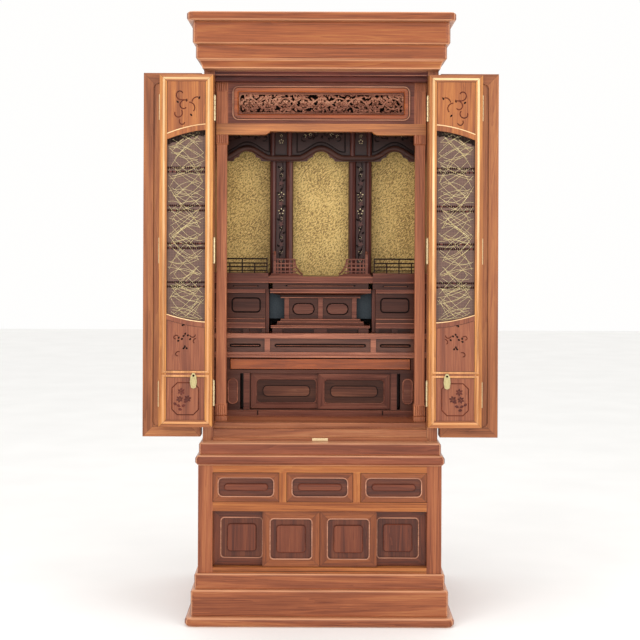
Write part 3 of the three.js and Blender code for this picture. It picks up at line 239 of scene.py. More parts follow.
def boardWood(name, tone, axis, seed, depths=()):          # one board, grain along one axis
    shader = Shader(name)
    x, y, z = shader.axes()
    order = (x, z, y) if axis == "X" else (z, x, y)
    return grain(shader, *order, tones[tone], seed, shadeAndTintByDepth(shader, y, depths))


courseJoint = {"return": 0.06, "backFace": 0.003, "line": 0.0012, "edge": 0.0016}   # metres


# Courses get a pale painted highlight along their top and bottom edges and along the mitres of their front
# corners.
def courseWood(name, tone, low, high, seed):    # boards mitred in plan at the two front corners
    shader = Shader(name)
    x, y, z = shader.axes()
    fromSide = shader.math("SUBTRACT", high.x, shader.math("ABSOLUTE", x))
    fromFront = shader.math("SUBTRACT", y, low.y)
    gap = shader.math("SUBTRACT", fromFront, fromSide)
    nearSide = shader.math("LESS_THAN", fromSide, courseJoint["return"])
    notBack = shader.math("GREATER_THAN", shader.math("SUBTRACT", high.y, y), courseJoint["backFace"])
    pastMitre = shader.math("GREATER_THAN", gap, 0.0)
    onSide = shader.math("MULTIPLY", pastMitre, shader.math("MULTIPLY", nearSide, notBack))
    fromEdge = shader.math("MINIMUM", shader.math("SUBTRACT", z, low.z), shader.math("SUBTRACT", high.z, z))
    edges = shader.within(fromEdge, -0.001, courseJoint["edge"], 0.0022)
    line = courseJoint["line"]
    cornerHighlight = shader.math("MULTIPLY", shader.within(gap, -line, line, 0.002), nearSide)
    along = shader.blend(onSide, x, y)
    across = shader.blend(onSide, y, x)
    return grain(shader, along, across, z, tones[tone], seed, paintedHighlight=shader.math("MAXIMUM", edges, cornerHighlight))


# Mitred stiles and rails round a panel, with a tone for each: (panel, stiles, rails)
def framedWood(name, toneNames, low, high, seed, border, panelAxis, depths=(), lowPanel=None):
    panelTone, stileTone, railTone = (tones[key] for key in toneNames)
    shader = Shader(name)
    x, y, z = shader.axes()
    middle = (low + high) / 2
    half = (high - low) / 2
    fromStile = shader.math("SUBTRACT", half.x, shader.math("ABSOLUTE", shader.math("SUBTRACT", x, middle.x)))
    fromRail = shader.math("SUBTRACT", half.z, shader.math("ABSOLUTE", shader.math("SUBTRACT", z, middle.z)))
    gap = shader.math("SUBTRACT", fromRail, fromStile)
    nearest = shader.math("MINIMUM", fromStile, fromRail)
    inBorder = shader.math("LESS_THAN", nearest, border)
    onStile = shader.math("GREATER_THAN", gap, 0.0)
    upright = shader.blend(inBorder, 1.0 if panelAxis == "Z" else 0.0, onStile)
    # The mitre and panel lines are dark joints. The sunk depths add painted shade on the sunk field.
    mitre = shader.math("MULTIPLY", shader.within(gap, -0.0005, 0.0005, 0.0004), inBorder)
    joint = shader.within(nearest, border - 0.0003, border + 0.0003, 0.0003)
    shade = shader.math("MULTIPLY", shader.math("MAXIMUM", mitre, joint), 0.5)
    sunk = shadeAndTintByDepth(shader, y, depths)
    if sunk is not None:
        shade = shader.math("MAXIMUM", shade, sunk)
    along = shader.blend(upright, x, z)
    across = shader.blend(upright, z, x)
    onRail = shader.math("SUBTRACT", inBorder, shader.math("MULTIPLY", inBorder, onStile))
    regions = [(inBorder, stileTone), (onRail, railTone)]
    if lowPanel is not None:                # the tone changes softly below a level
        level, other = lowPanel
        lower = (shader.within(z, 0.0, level, 0.4), tones[other])
        regions.insert(len(regions) if stileTone is panelTone else 0, lower)
    return grain(shader, along, across, y, panelTone, seed, shade, regions)


print("materials ready")


def paint(node, material):
    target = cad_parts[node]
    for place in range(len(target.data.materials)):
        target.data.materials[place] = material
    if not len(target.data.materials):
        target.data.materials.append(material)


edgeSoftening = {                            # metres and degrees, widths for three kinds of piece
    "weld": 0.00002, "segments": 2, "angle": 40, "course": 0.0012, "board": 0.0008, "leaf": 0.0009,
}


def soften(node, width):
    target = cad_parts[node]
    weld = target.modifiers.new("weld", "WELD")
    weld.merge_threshold = edgeSoftening["weld"]
    bevel = target.modifiers.new("soft edges", "BEVEL")
    bevel.width = width
    bevel.segments = edgeSoftening["segments"]
    bevel.limit_method = "ANGLE"
    bevel.angle_limit = math.radians(edgeSoftening["angle"])


def sides(name):
    return [name + "_right", name + "_left"]


courses = {
    "base_plate": "plinth", "plinth_block": "plinth", "plinth_step": "plinth", "waist_slab": "waist",
    "waist_block": "waist", "cornice_cove": "case", "cornice_step": "case", "cornice_frieze": "case",
    "top_plate": "case",
}
# The darker depths are painted shade in recesses and behind front edges. On the pillars they give the sunk panel
# its own black colour.
boards = {                                   # tone, grain axis and the darker depths along Y
    "lower_side": ("case", "Z", ()),
    "case_side": ("stile", "Z", ()),
    "front_post": ("post", "Z", ()),
    "side_shelf": ("lip", "X", ((-32.5, -17, 0.62), (-16.5, 30, 0.3))),
    "side_railing": ("dark", "X", ()),
    "pillar": ("plum", "Z", ((73, 81, 0.7),)),
    "lower_back": ("side", "Z", ()),
    "case_back": ("side", "Z", ()),
    "sill_and_floor": None,                  # sillWood paints it
    "head_and_ceiling": ("head", "X", ()),
    "lintel": ("lintel", "X", ()),
    "inner_base": ("lip", "X", ((-42.0, -38.0, 0.55), (-37.9, 60, 0.85))),
    "pull_out_tray": ("tray", "X", ()),
    "step_shelf": ("edge", "X", ((-36.5, -33.5, 0.7), (-33, 0, 0.9))),
    "altar_base": ("lip", "X", ((-26, -2, 0.45),)),
    "altar_waist": ("lip", "X", ((-3.2, -1.7, 0.3), (-1.4, 6, 0.72))),
    "altar_top": ("lip", "X", ((-27, -23, 0.62), (-22, 0, 0.85))),
}
paired = ("lower_side", "case_side", "front_post", "side_shelf", "side_railing", "pillar")
drawers = ["drawer_left", "drawer_middle", "drawer_right"]
framed = {                                   # nodes, tones, border, panel grain, sunk depth and its shade
    "drawer": (drawers, ("drawer", "drawerRim"), 0.0145, "X", 5.4, 0.26),
    "slider": (sides("sliding_door_inner"), ("drawer", "drawerRim"), 0.021, "Z", 4.4, 0.26),
    # the rear sliders take the darker rim tone as painted shade
    "rearSlider": (sides("sliding_door_outer"), ("drawer", "deepRim"), 0.021, "Z", 4.4, 0.26),
    "innerDoor": (sides("inner_door"), ("inner", "lip"), 0.017, "X", 3.4, 0.62),
    "outerLead": (sides("outer_lead_leaf"), ("side", "side"), 0.027, "Z", 0, 0),
    "outerSide": (sides("outer_side_leaf"), ("side", "side"), 0.027, "Z", 0, 0),
}
carvedLeaves = {                             # depths are where the solids' carving is shaded
    "tones": ("leaf", "rim", "rail"), "border": 0.0195, "low": (0.8, "leafLow"), "shade": 0.5,
    "depths": {"lead_leaf": (-247.25, -245.15), "side_leaf": (-209.35, -207.25)},
}

seed = 0
for node, tone in courses.items():
    seed += 1
    low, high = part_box(node)
    paint(node, courseWood("wood_" + node, tone, low, high, seed))
    soften(node, edgeSoftening["course"])
for name, board in boards.items():
    for node in sides(name) if name in paired else [name]:
        seed += 1
        if board is not None:
            tone, axis, depths = board
            paint(node, boardWood("wood_" + node, tone, axis, seed, depths))
# The sunk field of each framed panel gets painted shade.
for names, (panel, rim), border, axis, sunk, shade in framed.values():
    for node in names:
        seed += 1
        low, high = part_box(node)
        face = low.y * 1000
        depths = ((face + 0.9, face + sunk, shade),) if sunk else ()
        paint(node, framedWood("wood_" + node, (panel, rim, rim), low, high, seed, border, axis, depths))
for node, (front, back) in carvedLeaves["depths"].items():
    for name in sides(node):
        seed += 1
        low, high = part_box(name)
        shaded = ((front, back, carvedLeaves["shade"]),)
        paint(name, framedWood("wood_" + name, carvedLeaves["tones"], low, high, seed, carvedLeaves["border"],
                               "Z", shaded, carvedLeaves["low"]))

lowerFrame = {                               # uprights are in millimetres along X, the rest in metres
    "uprights": ((-318, -279), (-107, -86), (86, 107), (279, 318)), "dividerLow": 0.319,
    "dividerHigh": 0.394, "stileFrom": 0.279, "tone": "frame", "stileTone": "plinth", "seed": 77,
}


def lowerFrameWood():
    shader = Shader("wood_lower_frame")
    x, y, z = shader.axes()
    upright = None
    for low, high in lowerFrame["uprights"]:
        strip = shader.within(x, low / 1000, high / 1000, 0.00005)
        if abs(low) < 200:                  # a divider, between the drawers only
            between = shader.within(z, lowerFrame["dividerLow"], lowerFrame["dividerHigh"], 0.0001)
            strip = shader.math("MULTIPLY", strip, between)
        upright = strip if upright is None else shader.math("MAXIMUM", upright, strip)
    upright = shader.math("GREATER_THAN", upright, 0.5)
    outer = shader.math("GREATER_THAN", shader.math("ABSOLUTE", x), lowerFrame["stileFrom"])
    along = shader.blend(upright, x, z)
    across = shader.blend(upright, z, x)
    stiles = [(outer, tones[lowerFrame["stileTone"]])]
    return grain(shader, along, across, y, tones[lowerFrame["tone"]], lowerFrame["seed"], regions=stiles)


nicheWoods = {                               # metres, but the groove's depths are in millimetres
    "postFrom": 0.2512, "transomGroove": (-149.6, -148.4, 0.25), "transomTone": "transom",
    "transomSeed": 78, "sillTone": "stile", "floorFrom": -0.155, "floorTone": "post", "sillSeed": 79,
}


def transomWood():                          # dark frame between two short upright posts
    shader = Shader("wood_transom")
    x, y, z = shader.axes()
    onPost = shader.math("GREATER_THAN", shader.math("ABSOLUTE", x), nicheWoods["postFrom"])
    # painted shade in the groove of the transom frame
    sunk = shadeAndTintByDepth(shader, y, (nicheWoods["transomGroove"],))
    along = shader.blend(onPost, x, z)
    across = shader.blend(onPost, z, x)
    posts = [(onPost, tones["post"])]
    tone = tones[nicheWoods["transomTone"]]
    return grain(shader, along, across, y, tone, nicheWoods["transomSeed"], sunk, posts)


def sillWood():                             # the niche floor gets a paler tone than the sill in front of it: painted light against the shadow that falls in the niche
    shader = Shader("wood_sill_and_floor")
    x, y, z = shader.axes()
    inside = shader.math("GREATER_THAN", y, nicheWoods["floorFrom"])
    floorLight = [(inside, tones[nicheWoods["floorTone"]])]
    tone = tones[nicheWoods["sillTone"]]
    return grain(shader, x, z, y, tone, nicheWoods["sillSeed"], regions=floorLight)


paint("sill_and_floor", sillWood())
paint("lower_frame", lowerFrameWood())
paint("transom", transomWood())
for node in ("lower_frame", "step_shelf", "pull_out_tray", "altar_waist", "lintel", "sill_and_floor"):
    soften(node, edgeSoftening["board"])
for node in sides("front_post") + sides("case_side") + sides("inner_door"):
    soften(node, edgeSoftening["board"])
for node in sides("lead_leaf") + sides("side_leaf") + sides("outer_lead_leaf") + sides("outer_side_leaf"):
    soften(node, edgeSoftening["leaf"])

clothColours = {                             # colours, fleck size and weave in waves per metre
    "gold": [(0.37, "86693A"), (0.45, "B08F4E"), (0.53, "DDBB70"), (0.66, "EBCD86")],
    "fleckScale": 118.0, "goldWeave": 9000.0, "gauze": [(0.3, "664A41"), (0.7, "77584A")],
    "gauzeHoles": "1E1510", "gauzeWeave": 1500.0,
}


def goldCloth():
    shader = Shader("gold_cloth")
    x, y, z = shader.axes()
    steep = shader.math("MULTIPLY", shader.math("SUBTRACT", z, x), 1.9)
    slant = shader.join(shader.math("ADD", x, z), steep, 0.0)
    flecks = shader.noise(slant, clothColours["fleckScale"], 1.5, 0.6)
    broad = shader.noise(shader.join(x, z, 0.0), 14.0, 2.0)
    level = shader.math("ADD", shader.math("MULTIPLY", flecks, 0.8), shader.math("MULTIPLY", broad, 0.2))
    colour = shader.ramp(level, clothColours["gold"])
    thread = shader.math("SINE", shader.math("MULTIPLY", x, clothColours["goldWeave"]))
    weft = shader.math("SINE", shader.math("MULTIPLY", z, clothColours["goldWeave"]))
    weave = shader.math("MULTIPLY", shader.math("ADD", thread, weft), 0.12)
    shader.relief(shader.math("ADD", flecks, weave), 0.2, 0.0005)
    roughness = shader.blend(flecks, 0.62, 0.42)
    return shader.finish(colour, roughness, Metallic=0.25)


def gauzeCloth():
    shader = Shader("gauze")
    x, y, z = shader.axes()
    weave = clothColours["gauzeWeave"]
    waves = [shader.math("SINE", shader.math("MULTIPLY", way, weave)) for way in (x, z)]
    warp, picks = (shader.math("MULTIPLY_ADD", wave, 0.5, 0.5) for wave in waves)
    holes = shader.math("MULTIPLY", warp, picks)
    cloud = shader.noise(shader.join(x, z, 0.0), 40.0, 2.0)
    ground = shader.ramp(cloud, clothColours["gauze"])
    colour = shader.mix(shader.math("MULTIPLY", holes, 0.97), ground, linear(clothColours["gauzeHoles"]))
    shader.relief(holes, 0.3, 0.0004)
    return shader.finish(colour, 0.68)


paint("gold_board", goldCloth())
gauze = gauzeCloth()
for node in sides("lead_leaf_gauze") + sides("side_leaf_gauze"):
    paint(node, gauze)

print("nodes painted")


class Shape:
    def __init__(self):
        self.work = bmesh.new()

    def ring(self, points):
        return [self.work.verts.new(Vector(point) * metresPerMillimetre) for point in points]

    def loft(self, rings, looped=False):    # skin over rings of points, open ends are capped
        rows = [self.ring(points) for points in rings]
        count = len(rows[0])
        pairs = list(zip(rows, rows[1:])) + ([(rows[-1], rows[0])] if looped else [])
        for first, second in pairs:
            for i in range(count):
                j = (i + 1) % count
                self.work.faces.new((first[i], first[j], second[j], second[i]))
        if not looped:
            self.work.faces.new(rows[0])
            self.work.faces.new(list(reversed(rows[-1])))

    def box(self, x0, x1, y0, y1, z0, z1):
        self.loft([[(x0, y0, z), (x1, y0, z), (x1, y1, z), (x0, y1, z)] for z in (z0, z1)])

    def plate(self, outline, y0, y1):
        self.loft([[(x, y, z) for x, z in outline] for y in (y0, y1)])

    def dome(self, outline, y, rise):          # a low cushion over an outline, rising towards -Y
        cx = sum(x for x, z in outline) / len(outline)
        cz = sum(z for x, z in outline) / len(outline)
        levels = ((1.0, 0.0), (0.86, 0.62), (0.5, 0.93), (0.12, 1.0))
        rings = [[(cx + (x - cx) * size, y - rise * up, cz + (z - cz) * size) for x, z in outline]
                 for size, up in levels]
        self.loft([[(x, y + 1.2, z) for x, z in outline]] + rings)

    def turned(self, x, y, profile, sides=16):
        turn = [2 * math.pi * i / sides for i in range(sides)]
        self.loft([[(x + radius * math.cos(a), y + radius * math.sin(a), z) for a in turn]
                   for radius, z in profile])

    def strand(self, points, radius, sides=6, flat=1.0):   # a rod along a path in an XZ plane
        rings = []
        outward = Vector((0, -1, 0))
        turn = [2 * math.pi * k / sides for k in range(sides)]
        for i, (x, y, z) in enumerate(points):
            ahead = Vector(points[min(i + 1, len(points) - 1)]) - Vector(points[max(i - 1, 0)])
            ahead.normalize()
            side = Vector((-ahead.z, 0, ahead.x))
            centre = Vector((x, y, z))
            rings.append([centre + side * radius * math.cos(a) + outward * radius * flat * math.sin(a)
                          for a in turn])
        self.loft(rings)

    def moulding(self, outlineAt, section):    # section: (inset, y) points round a closed profile
        rings = [[(x, y, z) for x, z in outlineAt(inset)] for inset, y in section]
        self.loft(rings, looped=True)

    def finish(self, name, material, body, slot, mirrored=False, smooth=35, bevel=0.0, place=None):
        if place is not None:
            for vert in self.work.verts:
                vert.co = place(vert.co)
        if mirrored:
            for vert in self.work.verts:
                vert.co.x = -vert.co.x
        bmesh.ops.recalc_face_normals(self.work, faces=self.work.faces)
        mesh = bpy.data.meshes.new(name)
        self.work.to_mesh(mesh)
        piece = bpy.data.objects.new(name, mesh)
        bpy.context.collection.objects.link(piece)
        mesh.materials.append(material)
        if smooth:
            for face in mesh.polygons:
                face.use_smooth = True
            mesh.set_sharp_from_angle(angle=math.radians(smooth))
        if bevel:
            edge = piece.modifiers.new("soft edges", "BEVEL")
            edge.width = bevel * metresPerMillimetre
            edge.segments = 2
        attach(piece, body)
        return piece


def rounded(x0, x1, z0, z1, radius, steps=6):     # outline of a rounded rectangle, by its inset
    def at(inset):
        r = max(radius - inset, 0.3)
        corners = ((x1 - inset - r, z1 - inset - r, 0), (x0 + inset + r, z1 - inset - r, 90),
                   (x0 + inset + r, z0 + inset + r, 180), (x1 - inset - r, z0 + inset + r, 270))
        points = []
        for cx, cz, start in corners:
            for i in range(steps + 1):
                angle = math.radians(start + 90 * i / steps)
                points.append((cx + r * math.cos(angle), cz + r * math.sin(angle)))
        return points
    return at


def mitred(x0, x1, z0, z1):
    def at(inset):
        left, right, bottom, top = x0 + inset, x1 - inset, z0 + inset, z1 - inset
        return [(left, bottom), (right, bottom), (right, top), (left, top)]
    return at


def halfRound(centre, y, radius, foot=0.8, flat=1.0, steps=6):    # bead section for a moulding
    arc = [math.pi * i / steps for i in range(steps + 1)]
    curve = [(centre - radius * math.cos(a), y - radius * flat * math.sin(a)) for a in arc]
    return curve + [(centre + radius, y + foot), (centre - radius, y + foot)]


def leafShape(x, z, length, width, angle, lobes=0):    # outline of a pointed leaf that starts at x, z
    out = []
    steps = 7
    for side in (1, -1):
        order = range(steps + 1) if side > 0 else range(steps - 1, 0, -1)
        for i in order:
            t = i / steps
            bulge = math.sin(math.pi * t ** 0.8) * width / 2
            if lobes:
                bulge *= 1 + 0.28 * math.cos(2 * math.pi * lobes * t)
            along, across = length * t, side * bulge
            out.append((x + along * math.cos(angle) - across * math.sin(angle),
                        z + along * math.sin(angle) + across * math.cos(angle)))
    return out


def petals(shape, x, z, size, y, rise, turn=0.0):        # six petals round a small eye
    for k in range(6):
        angle = turn + 2 * math.pi * k / 6
        start = size * 0.12
        tipX, tipZ = x + start * math.cos(angle), z + start * math.sin(angle)
        shape.dome(leafShape(tipX, tipZ, size * 0.5, size * 0.32, angle), y, rise)
    eye = size * 0.1
    shape.dome(rounded(x - eye, x + eye, z - eye, z + eye, eye, 2)(0), y - rise * 0.4, rise)


def curl(x, z, size, start, turns, y, steps=18, tighten=0.72):      # a spiral that tightens towards its end
    points = []
    for i in range(steps + 1):
        t = i / steps
        angle = start + turns * 2 * math.pi * t
        reach = size * (1 - tighten * t)
        points.append((x + reach * math.cos(angle), y, z + reach * math.sin(angle)))
    return points


plainWoods = {}                              # a material for each tone and axis, made at its first use


def wood(tone, axis="X"):
    if (tone, axis) not in plainWoods:
        plainWoods[tone, axis] = boardWood("wood_" + tone + "_" + axis, tone, axis, 40 + len(plainWoods))
    return plainWoods[tone, axis]


brassLook = {                                # colours, brushing in waves per metre, roughness
    "low": "D2B98A", "high": "E9D8B0", "brushing": 900.0, "smooth": 0.3, "rough": 0.42,
    "metallic": 0.75,
}


def brassMetal():
    shader = Shader("brass")
    brushed = shader.noise(shader.place, brassLook["brushing"], 2.0)
    colour = shader.ramp(brushed, [(0.3, brassLook["low"]), (0.7, brassLook["high"])])
    shader.relief(brushed, 0.08, 0.0002)
    roughness = shader.blend(brushed, brassLook["smooth"], brassLook["rough"])
    return shader.finish(colour, roughness, Metallic=brassLook["metallic"])


def plainColour(name, low, high, rough, metallic=0.0, shine=0.5):
    shader = Shader(name)
    speckle = shader.noise(shader.place, 350.0, 3.0)
    shader.relief(speckle, 0.1, 0.0003)
    colour = shader.ramp(speckle, [(0.3, low), (0.7, high)])
    roughness = shader.blend(speckle, rough - 0.05, rough + 0.05)
    return shader.finish(colour, roughness, Metallic=metallic, Specular_IOR_Level=shine)


brass = brassMetal()                         # below: low colour, high colour, roughness, metal
goldThread = plainColour("gold_thread", "C6AF74", "EBDCAE", 0.5, 0.1)
# Near-black fill: painted shade in slots, grooves and pierced holes, and the own dark colour of joints, dots and
# the pull's pin.
darkFillAndShade = plainColour("dark_inlay", "120806", "20100B", 0.6, shine=0.08)
pullMetal = plainColour("pull_metal", "AD9D6C", "BBAD7C", 0.45, 0.3)
goldInlay = plainColour("gold_inlay", "DFC68C", "FFF0C6", 0.4, 0.1)

frontPanels = {                              # millimetres: border, field corner, tablet gap and its corner
    "drawer": {"nodes": drawers, "border": 14.5, "corner": 11, "gap": 15, "tabletCorner": 9,
               "bead": "trim", "rim": "cut", "slot": "drawer_wood"},
    "innerDoor": {"nodes": sides("inner_door"), "border": 17, "corner": 9, "gap": 17, "tabletCorner": 12,
                  "bead": "lip", "rim": "dark", "slot": "inner_wood"},
    "slider": {"nodes": sides("sliding_door_inner") + sides("sliding_door_outer"), "border": 21, "corner": 8,
               "gap": 16, "tabletCorner": 8, "bead": "trim", "rim": "cut", "slot": "drawer_wood"},
}
beadHeights = {"inner_door_left": 0.4}       # flatter, because the other inner door slides in front of it
for panel in frontPanels.values():
    for node in panel["nodes"]:
        low, high = (corner * 1000 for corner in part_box(node))
        face, border = low.y, panel["border"]
        field = rounded(low.x + border, high.x - border, low.z + border, high.z - border, panel["corner"])
        bead = Shape()
        bead.moulding(field, halfRound(-1.3, face, 1.5, 0.6, beadHeights.get(node, 0.7)))
        bead.finish(node + "_bead", wood(panel["bead"]), node, panel["slot"])
        gap = border + panel["gap"]
        corner = min(panel["tabletCorner"], (high.z - low.z) / 2 - gap - 0.5)
        tablet = rounded(low.x + gap, high.x - gap, low.z + gap, high.z - gap, corner)
        rim = Shape()
        rim.moulding(tablet, halfRound(0.2, face + 0.7, 1.0, 2.0, 0.7))
        rim.finish(node + "_tablet_rim", wood(panel["rim"]), node, panel["slot"])

print("panels ready")


# The leaves are drawn closed, in millimetres, and then folded open as in the frame.
leafPlaces = {                               # X range when closed, and where a point goes when folded open
    "lead_leaf": (1.0, 140.85, lambda co: Vector((co.x + 0.28275, co.y - 0.0425, co.z))),
    "side_leaf": (142.35, 282.25, lambda co: Vector((0.566 - co.x, -0.412 - co.y, co.z))),
}
arches = {"half": 283, "upperTop": 1292, "upperFall": 118, "lowerBottom": 788, "lowerRise": 96}
leafSizes = {"low": 511.5, "high": 1437.5, "face": -205.25, "stile": 19.5, "rail": 18, "midRail": (642.5, 659.5)}
leafLow, leafHigh, leafFace, leafStile, leafRail = (
    leafSizes[key] for key in ("low", "high", "face", "stile", "rail"))
midRailLow, midRailHigh = leafSizes["midRail"]


def archFall(x):
    return 1 - math.cos(x / arches["half"] * math.pi / 2)


def upperArch(x):
    return arches["upperTop"] - arches["upperFall"] * archFall(x)


def lowerArch(x):
    return arches["lowerBottom"] + arches["lowerRise"] * archFall(x)


def leafWood(body, part, tone, lowTone, seed, border):    # the tone changes towards the bottom
    low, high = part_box(body)
    name = "wood_" + part + "_" + body
    return framedWood(name, (tone, tone, tone), low, high, seed, border, "Z", (), (0.8, lowTone))


leafTrim = {                                 # millimetres; flat is the bead's height over its radius
    "beadGap": 6.5, "midGap": 0.6, "beadCentre": 4.6, "beadRadius": 3.1, "leadFlat": 0.6,
    "sideFlat": 0.16, "archLifts": (15, -1.4), "archRadius": 1.6, "boardGap": 1.2, "boardFront": 0.8,
    "boardBack": 2.9,
}
threadRows = {                               # millimetres: crossing threads over each gauze
    "rows": 52, "start": 780, "pitch": 10.1, "climb": (12, 105), "bow": 34, "shift": 14, "margin": 2.5,
    "radius": 0.4, "loose": 0.22,
}
crossBars = {                                # millimetres: bars with dark dots, teeth under the upper arch
    "levels": (1192, 1181.5, 1092.5, 1080, 993, 981, 891, 880), "half": 1.8, "dots": 18, "kept": 0.9,
    "dotHalf": (1.5, 2.9), "teeth": 26, "toothHalf": 1.4, "tooth": (11, 4),
}
topCarving = {                               # hooks are (x, z, size, start, turns, tighten)
    "middle": 1357.5,
    "hooks": ((-15, 27, 16, -1.05, -0.76, 0.66), (-5, -3, 16, 1.1, 0.69, 0.62), (8, -9, 15, 1.6, -0.36, 0.1),
              (29, 7, 14, 3.1, -0.27, 0.1), (-22, -23, 12.4, 0.74, -0.68, 0.35),
              (-10, -45, 9, 2.5, 0.56, 0.35)),
    "leaves": ((-17, 7, 2.4), (3, 10, 1.4), (35, 17, 1.1), (13, -21, -0.9)),
}
middleCarving = {                            # as above, on the panel under the lower arch
    "middle": 737.5,
    "hooks": ((22, 18, 12, 3.4, 0.4, 0.72), (26, -4, 11, 1.4, 0.36, 0.72), (-26, 8, 8, 0.5, 0.7, 0.72),
              (-20, -36, 9, 1.0, 0.6, 0.72)),
    "leaves": ((-3, 16, 0.9), (-8, 11, 0.6), (3, 13, 0.5), (-19, 5, 1.2), (-22, -1, 0.4), (-12, 3, 0.7),
               (10, 2, 0.9), (-8, -21, 0.5), (-2, -18, 1.5), (5, -22, 2.2), (-9, 38, 1.2), (-4, 40, 1.5)),
}
bottomCarving = {                            # an octagon with blooms (x, z, size) and leaves (x, z, angle)
    "middle": 586, "half": 35, "tall": 42, "cut": 14, "blooms": ((-11, 19, 17), (-15, -1, 16), (6, 0, 17)),
    "leaves": ((-31, -10, -0.7), (-22, -16, -0.5), (-10, -20, 0.3), (-19, -27, -0.2), (-4, -10, 0.6)),
}


def leafPieces(leaf, side):
    x0, x1, place = leafPlaces[leaf]
    body = leaf + "_" + side
    mirror = side == "left"
    lead = leaf == "lead_leaf"
    draw = random.Random(7 if lead else 11)
    middle = (x0 + x1) / 2
    fieldLow, fieldHigh = x0 + leafStile, x1 - leafStile
    beadMaterial = leafWood(body, "bead", "bead", "beadLow", 60 + len(leaf), 0.0195)
    panelMaterial = leafWood(body, "panel", "leaf", "leafLow", 70 + len(side), 0.001)

    def finish(shape, name, material, slotName, **options):
        shape.finish(body + "_" + name, material, body, slotName, mirror, place=place, **options)

    frameBead = Shape()
    gap, midGap = leafTrim["beadGap"], leafTrim["midGap"]
    midRail = (midRailLow + midRailHigh) / 2
    beadFlat = leafTrim["leadFlat"] if lead else leafTrim["sideFlat"]
    for low, high in ((leafLow + gap, midRail - midGap), (midRail + midGap, leafHigh - gap)):
        section = halfRound(leafTrim["beadCentre"], leafFace, leafTrim["beadRadius"], 1.0, beadFlat)
        frameBead.moulding(mitred(x0 + gap, x1 - gap, low, high), section)
    finish(frameBead, "frame_bead", beadMaterial, "door_wood", smooth=50)

    proud = 0.9 if lead else 0.3
    archRadius = leafTrim["archRadius"]
    rails = Shape()
    for arch, lift in zip((upperArch, lowerArch), leafTrim["archLifts"]):
        xs = [fieldLow + (fieldHigh - fieldLow) * i / 16 for i in range(17)]
        line = [(x, leafFace + 0.7, arch(x) + lift) for x in xs]
        rails.strand(line, archRadius, 6, (proud + 0.7) / archRadius)
    finish(rails, "arch_beads", wood("bead"), "door_wood")

    gauzeY = leafFace + 8
    threads = Shape()
    margin = threadRows["margin"]
    for i in range(threadRows["rows"]):
        level = threadRows["start"] + threadRows["pitch"] * i
        for rise in (-1, 1):
            climb = rise * draw.uniform(*threadRows["climb"])
            bow = draw.uniform(-threadRows["bow"], threadRows["bow"])
            shift = draw.uniform(-threadRows["shift"], threadRows["shift"])
            first = draw.uniform(0, threadRows["loose"])
            last = draw.uniform(1 - threadRows["loose"], 1)
            points = []
            for k in range(13):
                t = first + (last - first) * k / 12
                x = fieldLow + margin + (fieldHigh - fieldLow - 2 * margin) * t
                z = level + shift + climb * (t - 0.5) + bow * 4 * t * (1 - t)
                if lowerArch(x) + margin < z < upperArch(x) - margin:
                    points.append((x, gauzeY - 0.9 - 0.5 * (rise > 0), z))
            if len(points) > 2:
                threads.strand(points, threadRows["radius"], 4)
    finish(threads, "threads", goldThread, "gauze", smooth=0)

    bars = Shape()
    dots = Shape()
    wide, tall = crossBars["dotHalf"]
    tooth, spread = crossBars["tooth"]
    for z in crossBars["levels"]:
        half = crossBars["half"]
        bars.box(fieldLow + 0.6, fieldHigh - 0.6, gauzeY - 0.6, gauzeY + 0.4, z - half, z + half)
        for k in range(crossBars["dots"]):
            x = fieldLow + 3 + (fieldHigh - fieldLow - 6) * k / (crossBars["dots"] - 1)
            if draw.random() < crossBars["kept"]:
                dots.box(x - wide, x + wide, gauzeY - 1.6, gauzeY + 0.2, z - tall, z + tall)
    # The dark teeth are partly the gauze's pattern and partly painted shadow under the arch rail.
    for k in range(crossBars["teeth"]):     # dark teeth under the upper arch
        x = fieldLow + 3 + (fieldHigh - fieldLow - 6) * k / (crossBars["teeth"] - 1)
        top, half = upperArch(x) - 1.2, crossBars["toothHalf"]
        dots.box(x - half, x + half, gauzeY - 1.6, gauzeY + 0.2, top - tooth - spread * draw.random(), top)
    finish(bars, "cross_bars", wood("head"), "door_wood", smooth=0)
    finish(dots, "cross_bar_dots", darkFillAndShade, "dark_wood", smooth=0)

    boards = Shape()                        # thin panel boards in the three fields
    edgeGap = leafTrim["boardGap"]          # leaves a dark line round each board
    span = [fieldLow + edgeGap + (fieldHigh - fieldLow - 2 * edgeGap) * i / 12 for i in range(13)]
    for bottom, top in ((lambda x: upperArch(x) + 15, lambda x: leafHigh - leafRail),
                        (lambda x: midRailHigh, lambda x: lowerArch(x) - 15),
                        (lambda x: leafLow + leafRail, lambda x: midRailLow)):
        outline = [(x, bottom(x) + edgeGap) for x in span] + [(x, top(x) - edgeGap) for x in reversed(span)]
        boards.plate(outline, leafFace + leafTrim["boardFront"], leafFace + leafTrim["boardBack"])
    finish(boards, "panel_boards", panelMaterial, "door_wood", smooth=0)

    floorY = leafFace + 0.9
    lines = Shape()
    # Dark leaf shapes mark the pierced holes: painted shade seen through the carving.
    holeShade = Shape()

    def hook(sx, z, size, start, turns, tighten):       # offset and turn as seen on the left-hand leaf
        return curl(middle - sx, z, size, math.pi - start, -turns, floorY, tighten=tighten)

    def leafAt(sx, z, length, width, angle):
        return leafShape(middle - sx, z, length, width, math.pi - angle)

